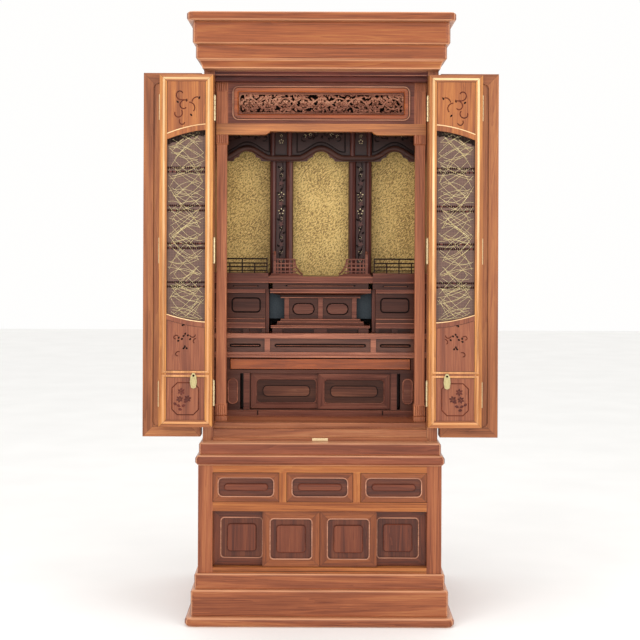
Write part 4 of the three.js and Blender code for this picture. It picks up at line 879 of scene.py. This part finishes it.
    high, low, centre = (carving["middle"] for carving in (topCarving, middleCarving, bottomCarving))
    for sx, sz, size, start, turns, tighten in topCarving["hooks"]:
        lines.strand(hook(sx, high + sz, size, start, turns, tighten), 1.7, 6, 0.5)
    for sx, sz, angle in topCarving["leaves"]:
        holeShade.dome(leafAt(sx - 3, high + sz - 3, 9, 5, angle), floorY - 0.1, 0.5)
    for sx, sz, angle in middleCarving["leaves"]:
        holeShade.dome(leafAt(sx, low + sz, 7.5, 5.2, angle), floorY - 0.1, 0.6)
    for sx, sz, size, start, turns, tighten in middleCarving["hooks"]:
        lines.strand(hook(sx, low + sz, size, start, turns, tighten), 1.5, 6, 0.5)
    half, tall, cut = bottomCarving["half"], bottomCarving["tall"], bottomCarving["cut"]
    octagon = [(-half + cut, -tall), (half - cut, -tall), (half, -tall + cut), (half, tall - cut),
               (half - cut, tall), (-half + cut, tall), (-half, tall - cut), (-half, -tall + cut)]
    corners = [(middle + x, floorY, centre + z) for x, z in octagon]
    for first, second in zip(corners, corners[1:] + corners[:1]):
        lines.strand([first, second], 1.5, 6, 0.6)
    finish(lines, "engraved_lines", wood("cut"), "door_wood")
    bloom = Shape()
    for sx, sz, size in bottomCarving["blooms"]:
        petals(bloom, middle - sx, centre + sz, size, floorY, 1.4, sx)
    for sx, sz, angle in bottomCarving["leaves"]:
        bloom.dome(leafAt(sx, centre + sz, 12, 7.5, angle), floorY, 1.2)
    finish(bloom, "carved_flowers", wood("head"), "door_wood")
    finish(holeShade, "pierced_leaf_shade", darkFillAndShade, "dark_wood", smooth=0)


for side in ("right", "left"):
    for leaf in leafPlaces:
        leafPieces(leaf, side)

print("leaves ready")


# Thin pale rods along X: painted highlights on the front edges of boards and along slots.
def highlightStrands(name, rows, tone, slotName, radius=1.1, mirrored=False):    # thin light edges along X
    for turned in ((False, True) if mirrored else (False,)):
        edge = Shape()
        for x0, x1, y, z in rows:
            edge.strand([(x0, y, z), (x1, y, z)], radius, 6, 0.8)
        suffix = ("_left" if turned else "_right") if mirrored else ""
        edge.finish(name + suffix, wood(tone), "root", slotName, turned)


transomTrim = {                              # millimetres: field, bead's face, inner frame's section
    "field": (-236.3, 236.3, 1329, 1415, 14), "face": -152,
    "inner": [(1.6, -148.6), (2.0, -150.6), (10.5, -150.6), (13.4, -147.6), (13.4, -146.0), (1.6, -146.0)],
}
field = rounded(*transomTrim["field"])
frameLine = Shape()
frameLine.moulding(field, halfRound(-1.6, transomTrim["face"], 1.6, 0.8, 0.7))
frameLine.finish("transom_bead", wood("trim"), "root", "case_wood")
innerFrame = Shape()
innerFrame.moulding(field, transomTrim["inner"])
innerFrame.finish("transom_inner_frame", wood("tray"), "root", "case_wood")

openwork = {                                 # millimetres: opening, stems, flowers, curls and leaves
    "half": 222.5, "low": 1344.4, "high": 1399.6, "corner": 12, "middle": 1372,
    "rim": [(0, -142), (1.5, -143.2), (3.4, -141.5), (3.4, -131), (0, -131)], "wave": 15, "waves": 4.5,
    "stemY": -138, "stemRadius": 2.0, "flowers": 9, "flowerSize": 19, "flowerDrop": 15,
    "flowerY": -139.5, "curlX": 17, "curlDrop": 13, "curlSize": 11, "curlY": -139, "curlRadius": 1.6,
    "leaves": 460, "filling": 300, "columns": 115, "leafHalf": 217, "leafLength": (11, 19),
    "leafWidth": (4.5, 7), "leafY": (-139.5, -132.5), "leafRise": 3.4,
}


def kept(points):                            # outline points held inside the transom's opening
    half, low, high = openwork["half"] - 1, openwork["low"] + 1, openwork["high"] - 1
    return [(max(-half, min(half, x)), max(low, min(high, z))) for x, z in points]


def vine(t):
    half = openwork["half"]
    return (-half + 4 + t * (2 * half - 8),
            openwork["middle"] + openwork["wave"] * math.sin(t * math.pi * 2 * openwork["waves"]))


carving = Shape()
draw = random.Random(5)
level = openwork["middle"]
opening = rounded(-openwork["half"], openwork["half"], openwork["low"], openwork["high"], openwork["corner"])
carving.moulding(opening, openwork["rim"])
for way in (1, -1):
    path = [vine(i / 120) for i in range(121)]
    stem = [(x, openwork["stemY"] - way, level + way * (z - level)) for x, z in path]
    carving.strand(stem, openwork["stemRadius"], 6)
for i in range(openwork["flowers"]):
    x, z = vine((i + 0.5) / openwork["flowers"])
    up = 1 if z > level else -1
    flowerZ = z - up * openwork["flowerDrop"]
    petals(carving, x, flowerZ, openwork["flowerSize"], openwork["flowerY"], 4.2, i * 0.5)
    for way in (-1, 1):
        spiral = curl(x + way * openwork["curlX"], z - up * openwork["curlDrop"], openwork["curlSize"],
                      1.57 + way * 1.2, 0.9 * way, openwork["curlY"], 14)
        low, high = openwork["low"] + 2, openwork["high"] - 2
        held = [(px, py, max(low, min(high, pz))) for px, py, pz in spiral]
        carving.strand(held, openwork["curlRadius"], 5)
for k in range(openwork["leaves"]):          # the first ones fill the field, the others its two edges
    column = k % openwork["columns"] / (openwork["columns"] - 1)
    x = -openwork["leafHalf"] + 2 * openwork["leafHalf"] * column + draw.uniform(-4, 4)
    filling = k < openwork["filling"]
    z = level + (draw.uniform(-26, 26) if filling else draw.choice((-1, 1)) * draw.uniform(14, 26))
    outline = leafShape(x, z, draw.uniform(*openwork["leafLength"]), draw.uniform(*openwork["leafWidth"]),
                        draw.uniform(0, 6.28), k % 3)
    carving.dome(kept(outline), draw.uniform(*openwork["leafY"]), openwork["leafRise"])
carving.finish("transom_openwork", wood("carved"), "root", "carved_wood", smooth=40)
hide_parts("transom_carving")


valanceShape = {                             # millimetres; bays are the middles of its three arches
    "bays": (-209, 0, 209), "shoulder": 1227.5, "peak": 28, "half": 294.6, "top": 1330.9, "front": 49.2,
    "back": 57, "lip": 16, "lipFront": 43.2, "lipBack": 49.4, "cuspHalf": 39, "lobe": 0.6,
    "sideLobe": 0.42, "bandReach": 66, "bandLift": 9.5, "bandRadius": 8.6, "bandY": 43.5,
    "shade": (48.4, 58, 0.8),
}
valanceRelief = {                            # millimetres: ridges, curls and a spiral of leaves in each bay
    "reach": {-209: 62, 0: 68, 209: 62}, "radius": 1.7, "y": 48.6, "over": 17, "top": 1330, "curls": 3,
    "curlX": (16, 17), "curlZ": (1305, 6), "curlSize": 9, "leaves": 14, "leafTurn": 2.39996,
    "leafSpread": (6, 13), "leafZ": 1310, "leafFlat": 0.33, "leafSize": (11, 6),
}


def bandHeight(x):
    lift = 0
    for bay in valanceShape["bays"]:
        t = abs(x - bay) / valanceShape["bandReach"]
        if t < 1:
            lift = max(lift, valanceShape["peak"] * 0.5 * (1 + math.cos(math.pi * t)))
    return valanceShape["shoulder"] + valanceShape["bandLift"] + lift


def cuspedEdge(x):                           # a round middle lobe with a smaller one on each side
    lift = 0
    lobe, small = valanceShape["lobe"], valanceShape["sideLobe"]
    for bay in valanceShape["bays"]:
        t = abs(x - bay) / valanceShape["cuspHalf"]
        crown = small + (1 - small) * math.sqrt(max(0, 1 - (t / 0.612) ** 2))
        side = small * math.sqrt(max(0, 1 - ((t - lobe) / (1 - lobe)) ** 2))
        if t < 1:
            lift = valanceShape["peak"] * (crown if t <= lobe else side)
    return valanceShape["shoulder"] + lift


# A board closes the niche above the valance. Its dark colour is painted shade, standing for the unlit space
# behind the openwork.
upperShadeBoard = Shape()
upperShadeBoard.box(-294, 294, 50, 56, 1331.6, 1426.6)
upperShadeBoard.finish("upper_back_board", wood("dark"), "root", "dark_wood", smooth=0)
valance = Shape()
half, top, cusp = valanceShape["half"], valanceShape["top"], valanceShape["cuspHalf"]
across = [-half, half]
for bay in valanceShape["bays"]:
    across += [bay + (cusp + 0.05) * math.sin(math.pi / 2 * i / 30) for i in range(-30, 31)]
    joints = [bay + way * cusp * valanceShape["lobe"] for way in (-1, 1)]
    across += [joint + shift * cusp * 0.01 for joint in joints for shift in (-1, 1)]
lowerEdge = [(x, cuspedEdge(x)) for x in sorted(set(across))]
valance.plate(lowerEdge + [(half, top), (-half, top)], valanceShape["front"], valanceShape["back"])
valance.plate(lowerEdge + [(x, z + valanceShape["lip"]) for x, z in reversed(lowerEdge)],
              valanceShape["lipFront"], valanceShape["lipBack"])
valanceWood = boardWood("wood_valance", "plum", "X", 81, (valanceShape["shade"],))
valance.finish("valance_board", valanceWood, "root", "dark_wood", smooth=30)
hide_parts("arched_valance")
band = Shape()
along = [-293 + 586 * i / 180 for i in range(181)]
band.strand([(x, valanceShape["bandY"], bandHeight(x)) for x in along], valanceShape["bandRadius"], 10, 0.7)
band.finish("valance_band", wood("band"), "root", "dark_wood", smooth=60)
ridge = Shape()
ridgeY, over = valanceRelief["y"], valanceRelief["over"]
for bay, reach in valanceRelief["reach"].items():
    xs = [bay - reach + 2 * reach * i / 40 for i in range(41)]
    ridge.strand([(x, ridgeY, bandHeight(x) + over) for x in xs], valanceRelief["radius"], 6)
    for way in (-1, 1):
        x = bay + way * reach
        upright = [(x, ridgeY, bandHeight(x) + over - 1), (x, ridgeY, valanceRelief["top"])]
        ridge.strand(upright, valanceRelief["radius"], 6)
        for k in range(valanceRelief["curls"]):
            (firstX, stepX), (firstZ, stepZ) = valanceRelief["curlX"], valanceRelief["curlZ"]
            ridge.strand(curl(bay + way * (firstX + stepX * k), firstZ - stepZ * k, valanceRelief["curlSize"],
                              1.57 + way * (0.4 + k), 0.8 * way, ridgeY), 1.5, 5)
    for k in range(valanceRelief["leaves"]):
        angle = valanceRelief["leafTurn"] * k
        nearest, spread = valanceRelief["leafSpread"]
        spread = nearest + spread * math.sqrt(k)
        x = bay + spread * math.cos(angle)
        z = valanceRelief["leafZ"] + valanceRelief["leafFlat"] * spread * math.sin(angle)
        ridge.dome(leafShape(x, z, *valanceRelief["leafSize"], angle), 49, 1.8)
ridge.finish("valance_carving", wood("dark"), "root", "dark_wood", smooth=50)

columnShape = {                              # millimetres, round columns over the altar
    "places": (-137, -89.5, 89.5, 137), "y": 46, "low": 1240, "high": 1331, "radius": 7.5,
    "flat": 0.9,
}
columns = Shape()
for x in columnShape["places"]:
    ends = [(x, columnShape["y"], z) for z in (columnShape["low"], columnShape["high"])]
    columns.strand(ends, columnShape["radius"], 12, columnShape["flat"])
columns.finish("valance_columns", wood("plum", "Z"), "root", "dark_wood", smooth=50)

goldFlowers = {                              # (z, size) on the pillars, (x, z, size) on the valance
    "pillarX": 113, "pillarY": 75.6, "valanceY": 48.6, "dot": 0.12, "ring": 0.42,
    "pillar": ((1208, 8), (1190, 9), (1133, 17), (1116, 10), (1086, 17), (1066, 9), (1036, 9), (1012, 8),
               (970, 9), (946, 8)),
    "valance": ((113, 1318, 12), (113, 1284, 12), (113, 1300, 7), (30, 1304, 9), (46, 1300, 8),
                (15, 1312, 7), (182, 1304, 8), (226, 1302, 8)),
}
pillarX, pillarY, valanceY = (goldFlowers[key] for key in ("pillarX", "pillarY", "valanceY"))
flowerPlaces = [(pillarX, z, size, pillarY) for z, size in goldFlowers["pillar"]]
flowerPlaces += [(x, z, size, valanceY) for x, z, size in goldFlowers["valance"]]
sparks = Shape()
for x, z, size, y in flowerPlaces:
    for k in range(5):
        angle = 1.57 + 2 * math.pi * k / 5
        ring, reach = size * goldFlowers["ring"], size * goldFlowers["dot"]
        for way in (-1, 1):
            cx, cz = way * x + ring * math.cos(angle), z + ring * math.sin(angle)
            sparks.dome(rounded(cx - reach, cx + reach, cz - reach, cz + reach, reach, 2)(0), y, 1.0)
sparks.finish("small_gold_flowers", goldInlay, "root", "gold_cloth", smooth=50)

pillarVine = {                               # millimetres: wavy stem with leaves on each pillar
    "x": 113, "y": 75.4, "low": 915, "step": 5, "points": 63, "sway": 5, "radius": 1.2, "leaves": 24,
    "leafLow": 922, "leafStep": 12.5, "leafSize": (11, 6),
}
stems = Shape()
for way in (-1, 1):
    x = way * pillarVine["x"]
    y, low, step = pillarVine["y"], pillarVine["low"], pillarVine["step"]
    sway = pillarVine["sway"]
    path = [(x + sway * math.sin(i * 0.55), y, low + step * i) for i in range(pillarVine["points"])]
    stems.strand(path, pillarVine["radius"], 5)
    for i in range(pillarVine["leaves"]):
        angle = 1.57 + (0.9 if i % 2 else -0.9)
        z = pillarVine["leafLow"] + pillarVine["leafStep"] * i
        stems.dome(leafShape(x + 4 * math.sin(i), z, *pillarVine["leafSize"], angle), 75.9, 1.6)
stems.finish("pillar_carving", wood("dark", "Z"), "root", "dark_wood", smooth=50)

print("upper niche ready")


# These rows are painted highlights.
highlightRows = {                                 # (x0, x1, y, z) of thin light edges in millimetres
    "altar": [(-144.5, 144.5, -40.8, 885.8), (-144.5, 144.5, -40.8, 901.6), (-140.5, 140.5, -28.8, 866.2),
              (-140.5, 140.5, -28.8, 857.6), (-111, 111, -10.2, 843.2), (-110.5, 110.5, -10.4, 782.2),
              (-120, 120, -17.6, 775.4), (-137.5, 137.5, -28.8, 764.8), (-137.5, 137.5, -28.8, 760.2)],
    "shelf": [(146, 294.4, -40.8, 886), (154, 294.4, -35.8, 857.8), (154, 294.4, -28.8, 784.4),
              (154, 294.4, -32.8, 773.0), (154, 294.4, -32.8, 760.2)],
    "step": [(-294.4, 294.4, -43.8, 744.2), (-294.4, 294.4, -43.8, 731.6), (-294.4, 294.4, -45.8, 684.6)],
    "lowBoard": [(-294, -176, -44.8, 530.4), (-170, 170, -44.8, 530.4), (176, 294, -44.8, 530.4)],
    "slot": [(-122, 122, -36.2, 710.4), (-92, 92, -27.0, 876.4)],
    "sideSlot": [(170, 247, -36.2, 710.4), (176, 240, -31.8, 875.4)],
    "head": [(-280, 280, -206.2, 1450.4), (-280, 280, -206.2, 1440.6)],
}
highlightStrands("altar_edge_highlights", highlightRows["altar"], "edge", "inner_wood")
highlightStrands("shelf_edge_highlights", highlightRows["shelf"], "edge", "inner_wood", mirrored=True)
highlightStrands("step_edge_highlights", highlightRows["step"], "edge", "inner_wood", 1.2)
highlightStrands("low_board_edge_highlights", highlightRows["lowBoard"], "edge", "inner_wood", 1.3)
notches = Shape()
for x in (-173, 173):
    notches.box(x - 1.6, x + 1.6, -45.4, -44.6, 519, 531)
notches.finish("low_board_joints", darkFillAndShade, "root", "dark_wood", smooth=0)

altarBoards = {                              # millimetres: boards behind and beside the altar, post beside it
    "back": (-152.8, 152.8, 119.4, 123.6, 745.5, 866.5), "post": (143.8, 152.8, -12, -2, 745.4, 866.6),
    "side": ((101.6, 783.6), (143.4, 783.6), (143.4, 866), (141.8, 866), (140.8, 857.6), (112.8, 849.2),
             (111.8, 841.6), (101.6, 841.6)), "sideFront": 12, "sideBack": 16,
}
backing = Shape()
backing.box(*altarBoards["back"])
backing.finish("altar_back_board", wood("dark"), "root", "dark_wood", smooth=0)
slate = plainColour("slate_board", "2C3338", "3A4146", 0.65, shine=0.15)
slateBoard = Shape()
for way in (-1, 1):
    outline = [(way * x, z) for x, z in altarBoards["side"]]
    slateBoard.plate(outline, altarBoards["sideFront"], altarBoards["sideBack"])
slateBoard.finish("altar_side_boards", slate, "root", "dark_wood", smooth=0)

lineWork = {                                 # (x0, x1, z0, z1, corner) of tablets, panel lines and slots
    "tablet": (229, 256, 550, 619, 12), "shelfPanel": (168, 246, 803, 842, 10),
    "waistPanel": (19, 76, 797, 825, 13), "shelfSlot": (172, 244, 874, 878, 1.8, 2),
    "stepSlot": (165.5, 251.5, 706.5, 715.5, 4, 3), "topSlot": (-98, 98, 875, 879, 1.8, 2),
    "middleSlot": (-127, 127, 706.5, 715.5, 4, 3),
}
cornerRailing = {                            # millimetres; courses are (x0, x1, y0, y1, z), bars are (z, x0)
    "courses": ((49, 141, -38, -24, 902.6), (50, 141, -38, -24, 906), (58, 138, -36, -26, 907.5),
                (66, 137, -35, -27, 911)),
    "post": (124, 131, -34.5, -28, 910, 963), "knobPlace": (127.5, -31.2),
    "knob": [(3.0, 962.5), (4.6, 963.5), (4.6, 965), (2.4, 966), (3.6, 967.5), (4.2, 969.5), (3.2, 971.8),
             (1.0, 973.3)],
    "uprights": (74, 86, 98, 110, 119), "bars": ((917, 66), (927.5, 69.5), (938, 71.5), (950.5, 72)),
    "sweep": (72, 21, 951, 43), "sweepBend": 2.4, "sweepRadius": 2.2,
}
for side in ("right", "left"):
    left = side == "left"
    post = Shape()
    post.box(*altarBoards["post"])
    post.finish("altar_side_post_" + side, wood("lip", "Z"), "root", "inner_wood", left, smooth=0, bevel=0.6)
    tabletRim = Shape()
    tabletRim.moulding(rounded(*lineWork["tablet"]), halfRound(0.6, -43.4, 1.6, 2.0, 0.8))
    tabletRim.finish("base_tablet_rim_" + side, wood("edge"), "root", "inner_wood", left)
    # The dark rings along the panel grooves and the dark plates in the side slots are painted shade in these
    # recesses.
    grooves = Shape()
    grooves.moulding(rounded(*lineWork["shelfPanel"]), halfRound(0, -23.2, 2.1, 1.0, 0.4))
    grooves.finish("shelf_panel_line_" + side, darkFillAndShade, "root", "dark_wood", left)
    slots = Shape()
    slots.plate(rounded(*lineWork["shelfSlot"])(0), -31.4, -30.6)
    slots.plate(rounded(*lineWork["stepSlot"])(0), -35.5, -34.6)
    slots.finish("side_slots_" + side, darkFillAndShade, "root", "dark_wood", left, smooth=0)
    waistLine = Shape()
    waistLine.moulding(rounded(*lineWork["waistPanel"]), halfRound(-0.8, -0.2, 2.1, 1.0, 0.4))
    waistLine.finish("altar_panel_line_" + side, darkFillAndShade, "root", "dark_wood", left)

    rail = Shape()
    rail.loft([[(x0, y0, z), (x1, y0, z), (x1, y1, z), (x0, y1, z)]
               for x0, x1, y0, y1, z in cornerRailing["courses"]])
    rail.box(*cornerRailing["post"])
    rail.turned(*cornerRailing["knobPlace"], cornerRailing["knob"], 14)
    for x in cornerRailing["uprights"]:
        rail.box(x - 1.6, x + 1.6, -33, -30, 910, 951)
    for z, x0 in cornerRailing["bars"]:
        rail.box(x0, 125, -33.4, -29.6, z - 1.7, z + 1.7)
    startX, runX, startZ, runZ = cornerRailing["sweep"]
    bend = cornerRailing["sweepBend"]
    sweep = [(startX - runX * (i / 10) ** bend, -31.5, startZ - runZ * i / 10) for i in range(11)]
    rail.strand(sweep, cornerRailing["sweepRadius"], 6)
    rail.finish("corner_railing_" + side, wood("lip"), "root", "inner_wood", left, smooth=30)
    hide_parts("altar_railing_" + side)

# dark plates in the middle slots: painted shade in the slots
slot = Shape()
slot.plate(rounded(*lineWork["topSlot"])(0), -26.5, -25.5)
slot.plate(rounded(*lineWork["middleSlot"])(0), -35.5, -34.6)
slot.finish("middle_slots", darkFillAndShade, "root", "dark_wood", smooth=0)
# painted highlights along the slots and the head's edges
highlightStrands("slot_highlights", highlightRows["slot"], "edge", "inner_wood", 0.8)
highlightStrands("side_slot_highlights", highlightRows["sideSlot"], "edge", "inner_wood", 0.8, mirrored=True)
highlightStrands("head_highlights", highlightRows["head"], "trim", "inner_wood", 0.7)

postReeds = {                                # millimetres: (y, low, high) of the capitals and the foot bands
    "bands": ((-150.2, 532, 558), (-151.2, 1264, 1286), (-152.2, 1404.5, 1426)), "count": 5, "first": 255.4,
    "pitch": 5.7, "radius": 2.3, "flat": 0.45,
}
lowRailing = {                               # millimetres: (z, radius) of the rails, posts along X
    "rails": ((919, 1.6), (929.5, 1.9), (939.5, 1.9), (951.6, 2.1)), "from": 147.6, "to": 288.6, "y": -33.5,
    "posts": 5, "firstPost": 149, "pitch": 34.4, "foot": 912.2, "tall": 952, "short": 940,
}
for side in ("right", "left"):
    reeds = Shape()
    for y, low, high in postReeds["bands"]:
        for k in range(postReeds["count"]):
            x = postReeds["first"] + postReeds["pitch"] * k
            reeds.strand([(x, y, low), (x, y, high)], postReeds["radius"], 8, postReeds["flat"])
    reeds.finish("capital_reeds_" + side, wood("post", "Z"), "root", "case_wood", side == "left", smooth=50)
for side in ("right", "left"):
    fence = Shape()
    y = lowRailing["y"]
    for z, radius in lowRailing["rails"]:
        fence.strand([(lowRailing["from"], y, z), (lowRailing["to"], y, z)], radius, 8, 0.8)
    for k in range(lowRailing["posts"]):
        x = lowRailing["firstPost"] + lowRailing["pitch"] * k
        top = lowRailing["short"] if k % 2 else lowRailing["tall"]
        fence.box(x - 1.7, x + 1.7, y - 1.5, y + 1.5, lowRailing["foot"], top)
    fence.finish("low_railing_" + side, wood("dark"), "root", "dark_wood", side == "left", smooth=40)
    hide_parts("side_railing_" + side)

print("altar ready")


hinges = {                                   # millimetres: heights, half length, and where each barrel stands
    "levels": (596.5, 974.5, 1352.5), "half": 34, "knuckles": 5, "gap": 0.5, "radius": 3.5, "chamfer": 3.0,
    "pin": 2.2, "jamb": (283, -206), "fold": (424.375, -227.25),
}
pullShape = {                                # millimetres, drawn on the closed leaf
    "x": 49.4, "top": 654, "bottom": 613, "proud": 3.4, "half": 0.9,
    "outline": ((3, 0), (7.5, 9), (9, 24)), "footHalf": 6.5, "pin": 3,
}
for side in ("right", "left"):
    turned = side == "left"
    half = hinges["half"]
    for name, (x, y), body in (("jamb_hinges", hinges["jamb"], "root"),
                               ("fold_hinges", hinges["fold"], "side_leaf_" + side)):
        barrel = Shape()
        for level in hinges["levels"]:
            for k in range(hinges["knuckles"]):
                z0 = level - half + k * half * 2 / hinges["knuckles"]
                z1 = z0 + half * 2 / hinges["knuckles"] - hinges["gap"]
                wide, end = hinges["radius"], hinges["chamfer"]
                barrel.turned(x, y, [(end, z0), (wide, z0 + 0.5), (wide, z1 - 0.5), (end, z1)], 14)
            pin, end = hinges["pin"], level + half
            barrel.turned(x, y, [(pin, level - half), (pin, end + 1), (pin - 1, end + 2.2)], 10)
        barrel.finish(name + "_" + side, brass, body, "brass", turned)
    pull = Shape()
    place = leafPlaces["lead_leaf"][2]
    x, top, bottom, thick = (pullShape[key] for key in ("x", "top", "bottom", "half"))
    y = leafFace - pullShape["proud"]
    foot = pullShape["footHalf"]
    rightHalf = [(x + wide, top - drop) for wide, drop in pullShape["outline"]] + [(x + foot, bottom + 3)]
    leftHalf = [(2 * x - px, pz) for px, pz in reversed(rightHalf)]
    outline = leftHalf[-1:] + rightHalf + [(x, bottom)] + leftHalf[:-1]
    pull.plate(outline, y - thick, y + thick)
    pin = Shape()
    pinHalf = pullShape["pin"]
    pin.dome(rounded(x - pinHalf, x + pinHalf, top - 10, top - 4, pinHalf, 3)(0), y - thick, 1.4)
    pin.finish("pull_pin_" + side, darkFillAndShade, "lead_leaf_" + side, "brass", turned, place=place)
    pull.box(x - 1.4, x + 1.4, y, leafFace + 0.4, top - 8.4, top - 5.6)
    pull.moulding(rounded(x - 5.2, x + 5.2, bottom + 5, top - 13, 5), halfRound(0, y - thick, 1.2, 0.4, 0.9))
    pull.finish("pull_" + side, pullMetal, "lead_leaf_" + side, "brass", turned, place=place, bevel=0.3)

catchShape = {                               # millimetres: boxes as x0, x1, y0, y1, z0, z1
    "plate": (-21, 21, -219.4, -217.6, 472.8, 479.8), "bolt": (-9, 9, -220.0, -219.2, 475.0, 477.6),
    "sillGroove": (-279, 279, -260.25, -259.8, 137.0, 138.2),
}
catch = Shape()
catch.box(*catchShape["plate"])
catch.box(*catchShape["bolt"])
catch.finish("catch_plate", brass, "root", "brass", smooth=0, bevel=0.3)
# A dark strip along the sill rail's groove: painted shade in the groove.
sillLine = Shape()
sillLine.box(*catchShape["sillGroove"])
sillLine.finish("sill_groove", darkFillAndShade, "root", "dark_wood", smooth=0)

print("small metal ready")


studio = {                                   # metres; lights are (place, target, width, height, watts)
    "floorSize": 24, "floorLow": "F2F1EF", "floorHigh": "F6F5F3", "floorRough": 0.7,
    "sky": (1.0, 0.995, 0.985, 1.0), "skyStrength": 1.0,
    "lights": {
        "key": ((-2.6, -3.4, 2.6), (0, 0, 0.95), 2.2, 2.2, 50),
        "fill": ((2.8, -3.2, 1.7), (0, 0, 0.85), 2.2, 2.4, 46),
        "front": ((0.0, -4.6, 1.3), (0, 0, 0.9), 2.6, 2.0, 26),
        "over": ((0.0, -0.6, 3.6), (0, 0, 1.2), 2.4, 2.0, 22),
    },
    "lens": 76.13, "sensor": 36.0, "shift": -0.117, "cameraPlace": (-0.002, -3.795, 0.990),
    "cameraTilt": 0.22,
}


def floorMaterial():
    shader = Shader("studio_floor")
    speckle = shader.noise(shader.place, 3.0, 2.0)
    colour = shader.ramp(speckle, [(0.3, studio["floorLow"]), (0.7, studio["floorHigh"])])
    return shader.finish(colour, studio["floorRough"])


bpy.ops.mesh.primitive_plane_add(size=studio["floorSize"], location=(0, 0, -0.0005))
floor = bpy.context.object
floor.name = "studio_floor"
floor.data.materials.append(floorMaterial())

world = bpy.data.worlds.new("studio")
bpy.context.scene.world = world
world.use_nodes = True
background = world.node_tree.nodes["Background"]
background.inputs[0].default_value = studio["sky"]
background.inputs[1].default_value = studio["skyStrength"]

for name, (place, target, wide, tall, power) in studio["lights"].items():
    data = bpy.data.lights.new(name, "AREA")
    data.shape = "RECTANGLE"
    data.size = wide
    data.size_y = tall
    data.energy = power
    lamp = bpy.data.objects.new(name, data)
    bpy.context.collection.objects.link(lamp)
    lamp.location = place
    lamp.rotation_euler = (Vector(target) - Vector(place)).to_track_quat("-Z", "Y").to_euler()

cameraData = bpy.data.cameras.new("camera")
cameraData.lens = studio["lens"]
cameraData.sensor_width = studio["sensor"]
cameraData.shift_y = studio["shift"]
camera = bpy.data.objects.new("camera", cameraData)
bpy.context.collection.objects.link(camera)
camera.location = studio["cameraPlace"]
camera.rotation_euler = (math.pi / 2, -math.radians(studio["cameraTilt"]), 0)
bpy.context.scene.camera = camera
bpy.context.scene.view_settings.view_transform = "Standard"

print("studio ready")
